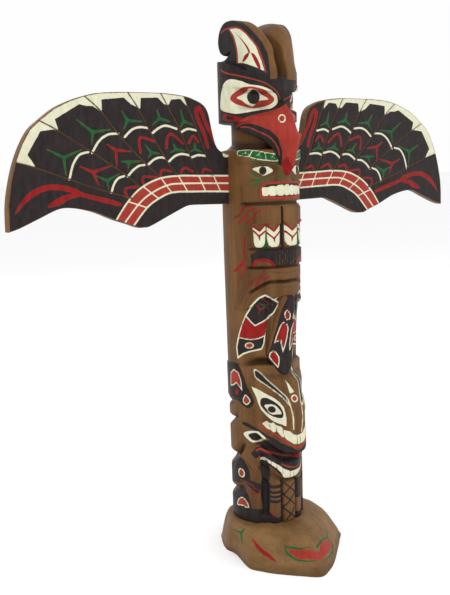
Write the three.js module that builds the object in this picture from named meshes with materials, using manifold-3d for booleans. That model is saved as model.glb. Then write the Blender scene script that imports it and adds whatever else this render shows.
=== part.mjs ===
// A carved and painted model totem pole: one carved log with its beak, horns and fin,
// a pair of wing boards let into slots in its sides, and the rough mound it stands on.
// Millimetres, +Z up. The origin is on the floor under the log's axis. The figures face -Y.

import * as THREE from "three";
import Module from "manifold-3d";
import { mergeVertices } from "three/addons/utils/BufferGeometryUtils.js";

const wasm = await Module();
wasm.setup();

// Driving sizes

const POLE_HEIGHT = 690;
const LOG_RADIUS = 54;
const BASE_THICKNESS = 45;
const BASE_REACH = 143;
const FOOT_LAND = 10;
const WING_THICKNESS = 12;
const WING_SPAN = 316;
const TENON_LENGTH = 14;
const FIT_GAP = 0.3;
const BEAK_REACH = 80;
const HORN_GAP = 16;
const HORN_WIDTH = 34;
const FEATHER_GROOVE_WIDTH = 2;
const FEATHER_GROOVE_DEPTH = 1.2;

// The carving is drawn for a pole 690 high with a 54 radius, so its heights and depths
// are shares of those two, and the wings' outline is a share of the wings' span.

const DRAWN_HEIGHT = 690;
const DRAWN_RADIUS = 54;
const DRAWN_SPAN = 316;
const TALL = POLE_HEIGHT / DRAWN_HEIGHT;
const GIRTH = LOG_RADIUS / DRAWN_RADIUS;
const SPAN = WING_SPAN / DRAWN_SPAN;
const FOOT_Z = BASE_THICKNESS + FIT_GAP;

// How finely the log's surface is cut into faces

const FRONT_STEP = 6.4;
const FRONT_LIMIT = 122;
const BACK_STEPS = 7;
const ROW_STEP = 17;
const WELD_DISTANCE = 0.05;

const degrees = (angle) => (angle * Math.PI) / 180;

// 0 below low, 1 above high, and a smooth slope between them.
function slope(low, high, value) {
  const t = Math.min(Math.max((value - low) / (high - low), 0), 1);
  return t * t * (3 - 2 * t);
}

// 1 between low and high, falling smoothly to 0 over the soft distance outside them.
function band(low, high, soft, value) {
  return slope(low - soft, low, value) * (1 - slope(high, high + soft, value));
}

// A round swelling: 1 at the centre, 0 at the reach.
function swell(centre, reach, value) {
  const t = Math.min(Math.abs(value - centre) / reach, 1);
  return (1 - t * t) ** 2;
}

// An oval swelling on the log's face, for eyes, knees and knuckles.
function oval(angle, height, wide, tall, a, h) {
  const across = ((a - angle) * Math.PI * DRAWN_RADIUS) / 180 / wide;
  const t = Math.min(Math.hypot(across, (h - height) / tall), 1);
  return 1 - t ** 4;
}

// The figures. Each function gives how far its carving stands out of the log, or how deep
// it is cut (negative), at angle a from the front and height h above the pole's foot.

function logTaper(h) {
  return DRAWN_RADIUS - 3 * (1 - slope(0, 440, h));
}

// The bird's eyes are on flat planes cut across the log, one each side of its beak.
const EYE_PLANE_ANGLE = 46;
const EYE_PLANE_HALF = 34;

function eyePlane(a) {
  const off = Math.min(Math.abs(a - EYE_PLANE_ANGLE), EYE_PLANE_HALF);
  return DRAWN_RADIUS * (Math.cos(degrees(EYE_PLANE_HALF)) / Math.cos(degrees(off)) - 1);
}

function birdHead(h, a) {
  const plane = eyePlane(a) * band(574, 601, 6, h);
  const block = band(556, 700, 2, h) * (2 - 5 * (1 - slope(20, 120, a)));
  const cheek = -3 * band(556, 580, 20, h) * (1 - slope(30, 75, a));
  const eye = 1.6 * oval(49, 587, 26, 12, a, h);
  const brow = 1.2 * band(606, 613, 4, h) * band(0, 100, 15, a);
  return plane + block + cheek + eye + brow;
}

function birdNeck(h, a) {
  const shoulder = 6 * (1 - slope(519, 527, h)) * slope(60, 120, a);
  return (shoulder - 15) * band(520, 553, 3, h);
}

function bearFace(h, a) {
  const face = band(449, 519, 3, h);
  const flat = -2 * face * (1 - slope(20, 70, a));
  const browBand = 1.8 * band(503, 517, 1.5, h) * band(9, 74, 3, a);
  const socket = -2 * oval(34, 492, 22, 12, a, h);
  const eye = 2 * oval(34, 492, 16, 6, a, h);
  const nose = 5 * band(476, 496, 3, h) * (1 - slope(6, 14, a));
  const lips = 2 * band(453, 475, 1.5, h) * (1 - slope(36, 40, a));
  const teeth = -1 * band(456, 472, 1, h) * (1 - slope(33, 36, a));
  const chinCut = -5 * band(445, 448, 2.5, h) * (1 - slope(62, 76, a));
  return flat + browBand + socket + eye + nose + lips + teeth + chinCut;
}

function bearHands(h, a) {
  const hollow = -2.5 * band(391, 442, 2, h) * (1 - slope(58, 72, a));
  const knuckles = 2.6 * band(421, 440, 3, h) * band(6, 44, 4, a);
  const finger = (angle) => 1.8 * band(391, 421, 2, h) * band(angle - 8, angle + 8, 2, a);
  const split = -4 * band(391, 441, 1.5, h) * (1 - slope(3, 5, a));
  const wristCut = -4 * band(388.5, 390.5, 2, h) * (1 - slope(55, 62, a));
  return hollow + knuckles + finger(20) + finger(42) + split + wristCut;
}

function claws(h, a) {
  const paw = 0.5 * band(364, 386, 2, h) * (1 - slope(52, 60, a));
  const ribs = -0.8 * band(364, 386, 1, h) * (1 - slope(16, 20, a)) * (a % 11 > 5.5 ? 1 : 0);
  const cut = -5.5 * band(360.5, 361.5, 2.5, h) * (1 - slope(55, 68, a));
  return paw + ribs + cut;
}

function knees(h, a) {
  const ledge = -1 * band(323, 358, 2, h) * (1 - slope(55, 75, a));
  const recess = -4.5 * band(339.5, 342, 2, h) * (1 - slope(52, 70, a));
  return ledge + recess;
}

// The sides of the whale's body pull in towards the fin in the middle of the front.
function finField(h, a) {
  const depth = 5 + 9 * slope(318, 245, h);
  const field = band(226, 319, 3, h) * (1 - slope(45, 88, a));
  const groove = -3 * band(240, 318, 4, h) * band(27, 33, 3, a);
  return -depth * field + groove;
}

function whale(h, a) {
  const waist = -8 * band(212, 226, 14, h) * (1 - slope(40, 80, a));
  const snout = 20 * slope(222, 150, h) * slope(98, 106, h) * (1 - slope(4, 44, a));
  const eye = 1.6 * oval(28, 168, 20, 13, a, h);
  const lip = 1.2 * band(104, 125, 2, h) * (1 - slope(44, 54, a));
  const ear = 1.5 * band(178, 222, 3, h) * band(66, 150, 6, a);
  return waist + snout + eye + lip + ear;
}

// The small creature below: its jaw, its curled limbs at the sides, its legs and belly.
function cub(h, a) {
  const mouth = -7 * band(90, 102, 3, h) * (1 - slope(50, 62, a));
  const jaw = 5 * band(66, 86, 4, h) * (1 - slope(5, 40, a));
  const jawCut = -2.5 * band(58, 62, 2, h) * (1 - slope(48, 60, a));
  const legSplit = -3 * band(0, 58, 3, h) * (band(12, 16, 1.5, a) + band(34, 50, 4, a));
  const sides = slope(55, 68, a) * (1 - slope(136, 165, a));
  const notch = (height, reach, deep) => -deep * swell(height, reach, h) * sides;
  const curls = notch(167, 7, 4) + notch(140, 10, 13) + notch(86, 13, 12) + notch(38, 10, 9);
  return mouth + jaw + jawCut + legSplit + curls;
}

function carvedRadius(h, a) {
  const figures = [birdHead, birdNeck, bearFace, bearHands, claws, knees, finField, whale, cub];
  return figures.reduce((radius, figure) => radius + figure(h, a), logTaper(h)) * GIRTH;
}

// Rows of the surface lean where the carving does: up towards the back at the head's rim,
// up at the sides along the whale's jaw, and down at the sides under the knees.
function leanedHeight(h, a) {
  const rim = -24 * slope(575, 637, h) * (1 - slope(20, 115, a));
  const jaw = 26 * band(70, 128, 55, h) * slope(5, 60, a) * (1 - slope(70, 110, a));
  const knee = -18 * band(322, 345, 12, h) * slope(25, 75, a) * (1 - slope(80, 120, a));
  return (h + rim + jaw + knee) * TALL;
}

// Closed solids from rings of points, all with the same count, from the bottom ring up.
function ringSolid(rings) {
  const count = rings[0].length;
  const positions = [];
  const faces = [];
  rings.forEach((ring) => ring.forEach((point) => positions.push(...point)));
  for (let level = 0; level + 1 < rings.length; level += 1) {
    for (let i = 0; i < count; i += 1) {
      const a = level * count + i;
      const b = level * count + ((i + 1) % count);
      faces.push(a, b, b + count, a, b + count, a + count);
    }
  }
  const capAt = (ring, offset, up) => {
    const centre = positions.length / 3;
    const mean = [0, 1, 2].map((axis) => ring.reduce((sum, p) => sum + p[axis], 0) / count);
    positions.push(...mean);
    for (let i = 0; i < count; i += 1) {
      const a = offset + i;
      const b = offset + ((i + 1) % count);
      faces.push(...(up ? [a, b, centre] : [b, a, centre]));
    }
  };
  capAt(rings[0], 0, false);
  capAt(rings[rings.length - 1], (rings.length - 1) * count, true);
  const geometry = new THREE.BufferGeometry();
  geometry.setAttribute("position", new THREE.Float32BufferAttribute(positions, 3));
  geometry.setIndex(faces);
  return geometry;
}

function toManifold(geometry) {
  const bare = geometry.clone();
  bare.deleteAttribute("normal");
  bare.deleteAttribute("uv");
  const merged = mergeVertices(bare, 1e-4);
  const vertProperties = new Float32Array(merged.attributes.position.array);
  const triVerts = new Uint32Array(merged.index.array);
  return new wasm.Manifold(new wasm.Mesh({ numProp: 3, vertProperties, triVerts }));
}

function fromManifold(solid) {
  const mesh = solid.getMesh();
  const geometry = new THREE.BufferGeometry();
  geometry.setAttribute("position", new THREE.BufferAttribute(mesh.vertProperties, 3));
  geometry.setIndex(new THREE.BufferAttribute(mesh.triVerts, 1));
  return geometry;
}

// Joins the points that a cut leaves closer together than the weld distance, and drops the
// slivers between them.
function welded(geometry) {
  const merged = mergeVertices(geometry, WELD_DISTANCE);
  const corners = merged.index.array;
  const kept = [];
  for (let i = 0; i < corners.length; i += 3) {
    const [a, b, c] = corners.slice(i, i + 3);
    if (a !== b && b !== c && c !== a) kept.push(a, b, c);
  }
  merged.setIndex(kept);
  return merged;
}

// Angles of the log's columns, from the front round by +X: close together where the
// carving is, wider apart behind.
function columnAngles() {
  const half = [];
  const steps = Math.round(FRONT_LIMIT / FRONT_STEP);
  for (let i = 0; i <= steps; i += 1) {
    half.push((i * FRONT_LIMIT) / steps);
  }
  const gap = (360 - 2 * FRONT_LIMIT) / BACK_STEPS;
  const back = [];
  for (let i = 1; i < BACK_STEPS; i += 1) {
    back.push(FRONT_LIMIT + i * gap);
  }
  const left = half.slice(1).reverse().map((angle) => 360 - angle);
  return [...half, ...back, ...left];
}

// Heights where a carved form starts or stops, so that a row of faces meets its edge.
const FORM_EDGES = [
  0, 27, 38, 56, 60, 66, 86, 91, 101, 106, 124, 140, 147, 167, 180, 198, 213, 222, 228, 240,
  317, 322, 338, 341, 344, 357, 361, 364, 386, 389, 392, 419, 424, 440, 443, 446, 451, 455,
  473, 477, 486, 492, 498, 503, 516, 520, 553, 557, 575, 587, 600, 612, 637,
];

function rowHeights() {
  const rows = [];
  FORM_EDGES.forEach((edge, i) => {
    rows.push(edge);
    const next = FORM_EDGES[i + 1];
    const extra = next === undefined ? 0 : Math.ceil((next - edge) / ROW_STEP) - 1;
    for (let k = 1; k <= extra; k += 1) {
      rows.push(edge + ((next - edge) * k) / (extra + 1));
    }
  });
  return rows;
}

function carvedLog() {
  const angles = columnAngles();
  const rings = rowHeights().map((h) => angles.map((angle) => {
    const a = Math.min(angle, 360 - angle);
    const radius = carvedRadius(h, a);
    const x = radius * Math.sin(degrees(angle));
    const y = -radius * Math.cos(degrees(angle));
    return [x, y, leanedHeight(h, a)];
  }));
  return toManifold(ringSolid(rings));
}

// The hooked beak and the lip under it, as level slices: height, half width, then how far
// forward its side edge, its ridge and its inner edge stand, as shares of the beak's reach.
const BEAK_STEPS = 8;
const BEAK_FULLNESS = 1.7;
const BEAK_SLICES = [
  [484, 3, 0.70, 0.76, 0.66], [490, 6, 0.69, 0.84, 0.65], [498, 9, 0.67, 0.9, 0.63],
  [508, 13, 0.66, 0.945, 0.62], [516, 17, 0.64, 0.97, 0.58], [522, 21, 0.62, 0.985, 0.55],
  [528, 27, 0.59, 0.99, 0.5], [533, 33, 0.55, 0.99, 0.42], [538, 41, 0.42, 0.98, 0.3],
  [543, 46, 0.27, 0.97, 0.16], [548, 49, 0.14, 0.95, 0.06], [555, 46, 0.22, 0.91, 0.1],
  [561, 43, 0.30, 0.88, 0.16], [567, 22, 0.5, 0.83, 0.35], [574, 8, 0.56, 0.76, 0.45],
  [583, 2.5, 0.58, 0.64, 0.5],
];

function beak() {
  const rings = BEAK_SLICES.map(([h, half, edge, ridge, inner]) => {
    const ring = [];
    for (let i = 0; i <= BEAK_STEPS; i += 1) {
      const across = (2 * i) / BEAK_STEPS - 1;
      const y = -BEAK_REACH * (ridge - (ridge - edge) * Math.abs(across) ** BEAK_FULLNESS);
      ring.push([half * GIRTH * across, y * GIRTH, h * TALL]);
    }
    const innerY = -BEAK_REACH * inner * GIRTH;
    ring.push([half * GIRTH, innerY, h * TALL], [-half * GIRTH, innerY, h * TALL]);
    return ring;
  });
  return toManifold(ringSolid(rings));
}

const HORN_FRONT_RADIUS = 51;
const HORN_BACK_RADIUS = 55;
const HORN_STEPS = 5;

// A horn's outline seen from the side, as [forward, height]: up its front edge, over the
// top, round the curl at the back and into the notch above the head's rim.
const HORN_OUTLINE = [
  [47, 606], [46, 640], [41, 662], [31, 676], [14, 686], [-8, 690], [-28, 688], [-41, 678],
  [-46, 664], [-41, 651], [-27, 645], [-8, 649], [-26, 640], [-40, 637], [-46, 620], [-40, 606],
];

// The horn is cut across by the round log, so its outline draws in towards the outside.
function drawnIn(forward, across) {
  const widest = forward > 0 ? HORN_FRONT_RADIUS : HORN_BACK_RADIUS;
  return forward * Math.sqrt(1 - (across / widest) ** 2);
}

function horn(side) {
  const outline = new THREE.Shape(HORN_OUTLINE.map((point) => new THREE.Vector2(...point)));
  const geometry = new THREE.ExtrudeGeometry(outline, {
    depth: HORN_WIDTH,
    steps: HORN_STEPS,
    bevelEnabled: false,
  });
  const points = geometry.attributes.position;
  for (let i = 0; i < points.count; i += 1) {
    const across = points.getZ(i) + HORN_GAP / 2;
    const y = -drawnIn(points.getX(i), across);
    points.setXYZ(i, -across * GIRTH, y * GIRTH, points.getY(i) * TALL);
  }
  const leftHorn = toManifold(geometry);
  return side < 0 ? leftHorn : mirrored(leftHorn);
}

// The whale's back fin down the middle of the front: height, half width, how far forward.
const FIN_SLICES = [
  [208, 1.5, 47], [214, 8, 48], [224, 17, 47], [236, 22.5, 43], [243, 22, 43],
  [262, 19, 48], [285, 16, 54], [305, 12.5, 59], [318, 10.5, 61], [321, 9.5, 60],
];

const FIN_STEPS = 6;
const FIN_ROUNDING = 7;
const FIN_INNER = 25;

function fin() {
  const rings = FIN_SLICES.map(([h, half, front]) => {
    const ring = [];
    for (let i = 0; i <= FIN_STEPS; i += 1) {
      const across = (2 * i) / FIN_STEPS - 1;
      const y = -(front - FIN_ROUNDING * across ** 4);
      ring.push([half * across * GIRTH, y * GIRTH, h * TALL]);
    }
    const innerY = -FIN_INNER * GIRTH;
    ring.push([half * GIRTH, innerY, h * TALL], [-half * GIRTH, innerY, h * TALL]);
    return ring;
  });
  return toManifold(ringSolid(rings));
}

// Wings. The board's outline is given as [out from the pole's axis, height above its foot].

const WING_ROOT = 54;
const WING_FRONT_Y = 0;
const ROOT_LOW = 447;
const ROOT_HIGH = 513;

const WING_OUTLINE_TOP = [
  [65, 517], [74, 526], [80, 546], [85, 568], [92, 578], [104, 584], [122, 589], [157, 592],
  [205, 592], [244, 590], [265, 586], [284, 580], [304, 571], [324, 557], [337, 546],
  [348, 529], [357, 509], [364, 486], [369, 460], [370, 428],
];
const WING_OUTLINE_LOW = [
  [356, 432], [331, 442], [305, 452], [285, 452], [258, 446], [231, 435], [210, 428],
  [196, 423], [184, 423], [172, 427], [158, 433], [134, 443], [119, 448], [95, 448],
];

// The carved lines between the feathers, each from the rim in to the painted band.
const FEATHER_LINES = [
  [[355, 508], [333, 502], [289, 487], [250, 474], [205, 461]],
  [[324, 556], [300, 544], [261, 521], [213, 491], [193, 476]],
  [[265, 586], [243, 568], [217, 537], [182, 503], [163, 487]],
  [[205, 592], [189, 570], [174, 543], [152, 508], [136, 488]],
  [[157, 592], [146, 574], [130, 546], [116, 514], [104, 488]],
  [[122, 589], [114, 571], [102, 543], [88, 507], [79, 487]],
];

function wingOut(u) {
  return WING_ROOT * GIRTH + (u - WING_ROOT) * SPAN;
}

const toWing = ([u, h]) => new THREE.Vector2(wingOut(u), h * TALL);

function wingBoard() {
  const tenonEnd = WING_ROOT * GIRTH - TENON_LENGTH;
  const shoulder = WING_ROOT * GIRTH + FIT_GAP;
  const board = new THREE.Shape();
  board.moveTo(tenonEnd, ROOT_LOW * TALL);
  board.lineTo(tenonEnd, ROOT_HIGH * TALL);
  board.lineTo(shoulder, ROOT_HIGH * TALL);
  board.lineTo(...toWing(WING_OUTLINE_TOP[0]).toArray());
  board.splineThru(WING_OUTLINE_TOP.slice(1).map(toWing));
  board.lineTo(...toWing(WING_OUTLINE_LOW[0]).toArray());
  board.splineThru(WING_OUTLINE_LOW.slice(1).map(toWing));
  board.lineTo(shoulder, ROOT_LOW * TALL);
  const geometry = new THREE.ExtrudeGeometry(board, {
    depth: WING_THICKNESS,
    bevelEnabled: false,
    curveSegments: 2,
  });
  return toManifold(standUp(geometry));
}

// Turns a shape drawn as (out, up) and extruded by its thickness to stand in the XZ plane,
// with its first face to the front.
function standUp(geometry) {
  geometry.applyMatrix4(new THREE.Matrix4().set(
    1, 0, 0, 0,
    0, 0, -1, WING_FRONT_Y + WING_THICKNESS,
    0, 1, 0, 0,
    0, 0, 0, 1,
  ));
  return geometry;
}

function featherGroove(line) {
  const points = line.map(toWing);
  const half = FEATHER_GROOVE_WIDTH / 2;
  const sideOf = (i) => {
    const before = points[Math.max(i - 1, 0)];
    const after = points[Math.min(i + 1, points.length - 1)];
    const along = after.clone().sub(before).normalize();
    return new THREE.Vector2(-along.y, along.x).multiplyScalar(half);
  };
  const outward = points[0].clone().sub(points[1]).setLength(4);
  points[0].add(outward);
  const left = points.map((point, i) => point.clone().add(sideOf(i)));
  const right = points.map((point, i) => point.clone().sub(sideOf(i))).reverse();
  const strip = new THREE.Shape([...left, ...right]);
  const geometry = new THREE.ExtrudeGeometry(strip, {
    depth: 2 * FEATHER_GROOVE_DEPTH,
    bevelEnabled: false,
  });
  standUp(geometry);
  geometry.translate(0, FEATHER_GROOVE_DEPTH - WING_THICKNESS, 0);
  return toManifold(geometry);
}

function mirrored(solid) {
  const geometry = fromManifold(solid);
  const corners = geometry.index.array;
  geometry.scale(-1, 1, 1);
  for (let i = 0; i < corners.length; i += 3) {
    [corners[i + 1], corners[i + 2]] = [corners[i + 2], corners[i + 1]];
  }
  return toManifold(geometry);
}

function rightWing() {
  return FEATHER_LINES.reduce(
    (board, line) => board.subtract(featherGroove(line)),
    wingBoard(),
  );
}

// The slot for a wing's tenon, larger than the tenon by the fit gap on every face.
function wingSlot(side) {
  const inner = WING_ROOT * GIRTH - TENON_LENGTH - FIT_GAP;
  const outer = inner + 3 * TENON_LENGTH;
  const low = ROOT_LOW * TALL - FIT_GAP;
  const high = ROOT_HIGH * TALL + FIT_GAP;
  const deep = WING_THICKNESS + 2 * FIT_GAP;
  const slot = new THREE.BoxGeometry(outer - inner, deep, high - low);
  slot.translate((inner + outer) / 2, WING_FRONT_Y + WING_THICKNESS / 2, (low + high) / 2);
  const cut = toManifold(slot);
  return side < 0 ? mirrored(cut) : cut;
}

function pole() {
  const figures = carvedLog().add(beak()).add(fin()).add(horn(1)).add(horn(-1));
  const slotted = figures.subtract(wingSlot(1)).subtract(wingSlot(-1));
  return welded(fromManifold(slotted));
}

// The mound. Its floor outline is given as [angle from the front, share of its reach], and
// its top falls from the pole's foot to the floor: gently in front, steeply behind.
const BASE_OUTLINE = [
  [0, 0.93], [10, 0.845], [33, 0.73], [50, 0.725], [66, 0.76], [90, 0.7], [120, 0.62],
  [150, 0.56], [180, 0.54], [210, 0.52], [233, 0.48], [260, 0.485], [280, 0.485],
  [306, 0.7], [317, 0.755], [326, 0.805], [341, 0.905], [351, 1],
];

// The rings of the mound's top, as shares of the way from the landing out to the rim. The
// rim itself stands a little above the floor, and the foot draws in under it.
const MOUND_COLUMNS = 60;
const MOUND_SHARES = [1, 0.985, 0.93, 0.84, 0.72, 0.56, 0.38, 0.2, 0];
const RIM_LIFT = 2;
const RIM_UNDERCUT = 0.985;
const WIDEST_LANDING = 0.93;

function moundPoint(outline, t, share) {
  const point = outline.getPoint(t);
  const reach = point.length();
  const landing = (LOG_RADIUS + FOOT_LAND) / reach;
  const inner = Math.min(landing, WIDEST_LANDING);
  const out = inner + (1 - inner) * share;
  const frontness = slope(0.2, 0.9, (-point.y / reach + 1) / 2);
  const power = 3.6 - 1.9 * frontness;
  const z = BASE_THICKNESS * (1 - share ** power);
  return [point.x * out, point.y * out, z];
}

function base() {
  const corners = BASE_OUTLINE.map(([angle, reach]) => {
    const radius = reach * BASE_REACH;
    return new THREE.Vector3(radius * Math.sin(degrees(angle)), -radius * Math.cos(degrees(angle)), 0);
  });
  const outline = new THREE.CatmullRomCurve3(corners, true, "centripetal");
  const turns = Array.from({ length: MOUND_COLUMNS }, (_, i) => i / MOUND_COLUMNS);
  const floor = turns.map((t) => {
    const point = outline.getPoint(t);
    return [point.x * RIM_UNDERCUT, point.y * RIM_UNDERCUT, 0];
  });
  const rings = MOUND_SHARES.map((share) => turns.map((t) => {
    const point = moundPoint(outline, t, share);
    return share === 1 ? [point[0], point[1], RIM_LIFT] : point;
  }));
  return ringSolid([floor, ...rings]);
}

const stainedWood = { color: 0x7a4a28, roughness: 0.55, metalness: 0 };
const darkPaint = { color: 0x352c28, roughness: 0.45, metalness: 0 };
const baseWood = { color: 0x80532c, roughness: 0.6, metalness: 0 };

function named(name, geometry, look) {
  geometry.computeVertexNormals();
  const mesh = new THREE.Mesh(geometry, new THREE.MeshStandardMaterial(look));
  mesh.name = name;
  return mesh;
}

const totemPole = new THREE.Group();
totemPole.add(named("base", base(), baseWood));

const standing = new THREE.Group();
standing.position.z = FOOT_Z;
standing.add(named("pole", pole(), stainedWood));
const wing = rightWing();
standing.add(named("wing_right", fromManifold(wing), darkPaint));
standing.add(named("wing_left", fromManifold(mirrored(wing)), darkPaint));
totemPole.add(standing);

export default totemPole;
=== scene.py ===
# %% [markdown]
# # A carved and painted totem pole
# The real thing is one log of wood, carved with a chisel and knife, stained brown, and painted
# with a small brush. Two flat wing boards are let into its sides, and it stands on a rough
# mound. The frame gives every piece its size and place, so the first step is to load it.

# %% Load the frame
import math
import bpy
import numpy as np
from mathutils import Matrix, Vector


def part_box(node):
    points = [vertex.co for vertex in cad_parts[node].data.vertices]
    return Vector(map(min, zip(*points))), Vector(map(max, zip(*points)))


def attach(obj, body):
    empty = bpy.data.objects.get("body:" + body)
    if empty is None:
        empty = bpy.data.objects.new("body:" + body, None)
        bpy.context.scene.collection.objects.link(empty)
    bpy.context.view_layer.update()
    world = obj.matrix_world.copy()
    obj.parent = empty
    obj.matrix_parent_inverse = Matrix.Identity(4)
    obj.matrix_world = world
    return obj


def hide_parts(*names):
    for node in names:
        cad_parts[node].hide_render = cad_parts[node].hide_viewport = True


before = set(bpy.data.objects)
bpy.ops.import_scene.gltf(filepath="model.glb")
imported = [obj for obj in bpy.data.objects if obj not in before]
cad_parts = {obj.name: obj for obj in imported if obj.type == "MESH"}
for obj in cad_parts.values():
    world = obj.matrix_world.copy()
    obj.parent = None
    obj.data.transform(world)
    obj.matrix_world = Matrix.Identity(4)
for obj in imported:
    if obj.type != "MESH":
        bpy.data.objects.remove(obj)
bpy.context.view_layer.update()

print("the frame holds", sorted(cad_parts))

# %% [markdown]
# ## Sizes
# The frame is in metres and the carver thinks in millimetres, so the shapes below are drawn in
# millimetres above the pole's foot and turned into metres at the end. The foot's height and the
# wing boards' place and thickness are read from the frame, and the log's own radius is given here.

# %% Sizes taken from the frame
MM = 0.001
pole_low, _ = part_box("pole")
_, base_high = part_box("base")
wing_low, wing_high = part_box("wing_right")
FOOT = pole_low[2] / MM
LOG_RADIUS = 54.0
WING_FRONT = wing_low[1] / MM
WING_THICKNESS = (wing_high[1] - wing_low[1]) / MM
print("foot at", round(FOOT, 1), "mm, wing boards", round(WING_THICKNESS, 1), "mm thick")

# %% [markdown]
# ## Soft steps
# Every carved form is a number added to the log's radius. A chisel leaves edges that are crisp
# but never sharp, so each form fades in and out over a millimetre or two. These four small
# functions are all that the carving needs, and they work on whole arrays at once.

# %% Step, band, swelling and oval
def slope(low, high, value):
    t = np.clip((value - low) / (high - low), 0, 1)
    return t * t * (3 - 2 * t)


def band(low, high, soft, value):
    return slope(low - soft, low, value) * (1 - slope(high, high + soft, value))


def swell(centre, reach, value):
    t = np.minimum(np.abs(value - centre) / reach, 1)
    return (1 - t * t) ** 2


def oval(angle, height, wide, tall, a, h):
    across = np.radians(a - angle) * LOG_RADIUS / wide
    t = np.minimum(np.hypot(across, (h - height) / tall), 1)
    return 1 - t ** 4


# %% [markdown]
# ## Measuring from a drawn line
# Paint edges and knife cuts follow lines drawn on the surface. Both need to know how far a point
# of the surface is from the line: paint changes colour at the edge, and a groove is deepest on
# it. A few points and a smooth curve through them are enough for each line.

# %% Curves and distances
CURVE_STEPS = 6


def curved(points, closed=False):
    """A smooth curve through the points."""
    points = np.array(points, float)
    count = len(points)
    out = []
    spans = count if closed else count - 1
    for i in range(spans):
        if closed:
            p0, p1, p2, p3 = (points[(i + k) % count] for k in (-1, 0, 1, 2))
        else:
            p0 = points[max(i - 1, 0)]
            p1, p2 = points[i], points[i + 1]
            p3 = points[min(i + 2, count - 1)]
        for step in range(CURVE_STEPS):
            t = step / CURVE_STEPS
            out.append(0.5 * (2 * p1 + (p2 - p0) * t + (2 * p0 - 5 * p1 + 4 * p2 - p3) * t * t
                              + (3 * p1 - p0 - 3 * p2 + p3) * t ** 3))
    if not closed:
        out.append(points[-1])
    return np.array(out)


def line_distance(x, y, line, closed=False):
    """Distance from each (x, y) to the nearest point of a line, and how far along it lies."""
    nearest = np.full(x.shape, 1e9)
    along = np.zeros(x.shape)
    ends = np.roll(line, -1, axis=0) if closed else line[1:]
    starts = line if closed else line[:-1]
    lengths = np.hypot(*(ends - starts).T)
    reached = np.concatenate([[0], np.cumsum(lengths)])
    for i, (a, b) in enumerate(zip(starts, ends)):
        d = b - a
        size = max(d @ d, 1e-9)
        t = np.clip(((x - a[0]) * d[0] + (y - a[1]) * d[1]) / size, 0, 1)
        gap = np.hypot(x - a[0] - t * d[0], y - a[1] - t * d[1])
        closer = gap < nearest
        nearest = np.where(closer, gap, nearest)
        along = np.where(closer, (reached[i] + t * lengths[i]) / reached[-1], along)
    return nearest, along


def inside(x, y, outline):
    """True where (x, y) is inside a closed outline."""
    result = np.zeros(x.shape, bool)
    for a, b in zip(outline, np.roll(outline, -1, axis=0)):
        crosses = (a[1] > y) != (b[1] > y)
        rise = b[1] - a[1] if b[1] != a[1] else 1e-9
        result ^= crosses & (x < (b[0] - a[0]) * (y - a[1]) / rise + a[0])
    return result


# %% [markdown]
# ## The paint
# The painter laid flat colours with crisp edges over the stained wood, later colours on top of
# earlier ones. Each colour is kept as a signed distance on the mesh's points: negative where
# that colour shows. Laying a colour also cuts it out of the others, as a brush covers what is
# under it. The distance blends evenly between points, so the edge stays sharp at any zoom.

# %% A surface that takes paint
COLOURS = ("black", "cream", "red", "crimson", "green")
FAR = 5.0
PAINT_MARGIN = 4.0


class Paint:
    """The painted colours of one surface, in the surface's own flat coordinates.

    across is how many millimetres one step sideways in a drawing is: on the log it's a degree.
    over is another drawing of the same surface, which this one paints on."""

    def __init__(self, x, y, across=1.0, allowed=None, over=None):
        self.x = x
        self.y = y
        self.across = across
        self.allowed = np.ones(x.shape, bool) if allowed is None else allowed
        self.layers = over.layers if over else {name: np.full(x.shape, FAR) for name in COLOURS}

    def drawn(self, points):
        return np.array(points, float) * (self.across, 1)

    def near(self, line, margin):
        low = line.min(axis=0) - margin
        high = line.max(axis=0) + margin
        return (self.allowed & (self.x > low[0]) & (self.x < high[0])
                & (self.y > low[1]) & (self.y < high[1]))

    def lay(self, colour, where, distance):
        for name, layer in self.layers.items():
            if name == colour:
                layer[where] = np.minimum(layer[where], distance)
            else:
                layer[where] = np.maximum(layer[where], -distance)

    def shape(self, colour, points, smooth=True, grow=0.0):
        line = self.drawn(points)
        if smooth:
            line = curved(line, closed=True)
        where = self.near(line, PAINT_MARGIN + max(grow, 0))
        x, y = self.x[where], self.y[where]
        gap, _ = line_distance(x, y, line, closed=True)
        signed = np.where(inside(x, y, line), -gap, gap) - grow
        self.lay(colour, where, signed)

    def outlined(self, rim, colour, points, width, smooth=True):
        """A shape with a rim of another colour drawn inside its edge."""
        self.shape(rim, points, smooth)
        self.shape(colour, points, smooth, grow=-width)

    def stroke(self, colour, points, width, tip=1.0, smooth=True):
        """A brush stroke, from full width at its start to a share of it at its end."""
        line = self.drawn(points)
        if smooth:
            line = curved(line)
        where = self.near(line, PAINT_MARGIN + width)
        gap, along = line_distance(self.x[where], self.y[where], line)
        self.lay(colour, where, gap - width / 2 * (1 + (tip - 1) * along))

    def strokes(self, colour, width, tip, lines, smooth=True):
        for points in lines:
            self.stroke(colour, points, width, tip, smooth)

    def forks(self, colour, width, tip, marks):
        """In each mark, a short stroke from its first point to each of the others."""
        for centre, *ends in marks:
            self.strokes(colour, width, tip, [[centre, end] for end in ends])

    def dot(self, colour, centre, wide, tall=None):
        tall = wide if tall is None else tall
        middle = self.drawn([centre])
        where = self.near(middle, PAINT_MARGIN + max(wide, tall))
        sideways = (self.x[where] - middle[0, 0]) / wide
        up = (self.y[where] - middle[0, 1]) / tall
        self.lay(colour, where, (np.hypot(sideways, up) - 1) * min(wide, tall))

    def everywhere(self, colour, distance):
        self.lay(colour, self.allowed, distance[self.allowed])

    def store(self, mesh):
        for name, layer in self.layers.items():
            attribute = mesh.attributes.new(name, "FLOAT", "POINT")
            attribute.data.foreach_set("value", np.clip(layer, -FAR, FAR).astype(np.float32))


print("a surface takes", len(COLOURS), "colours:", ", ".join(COLOURS))

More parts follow.
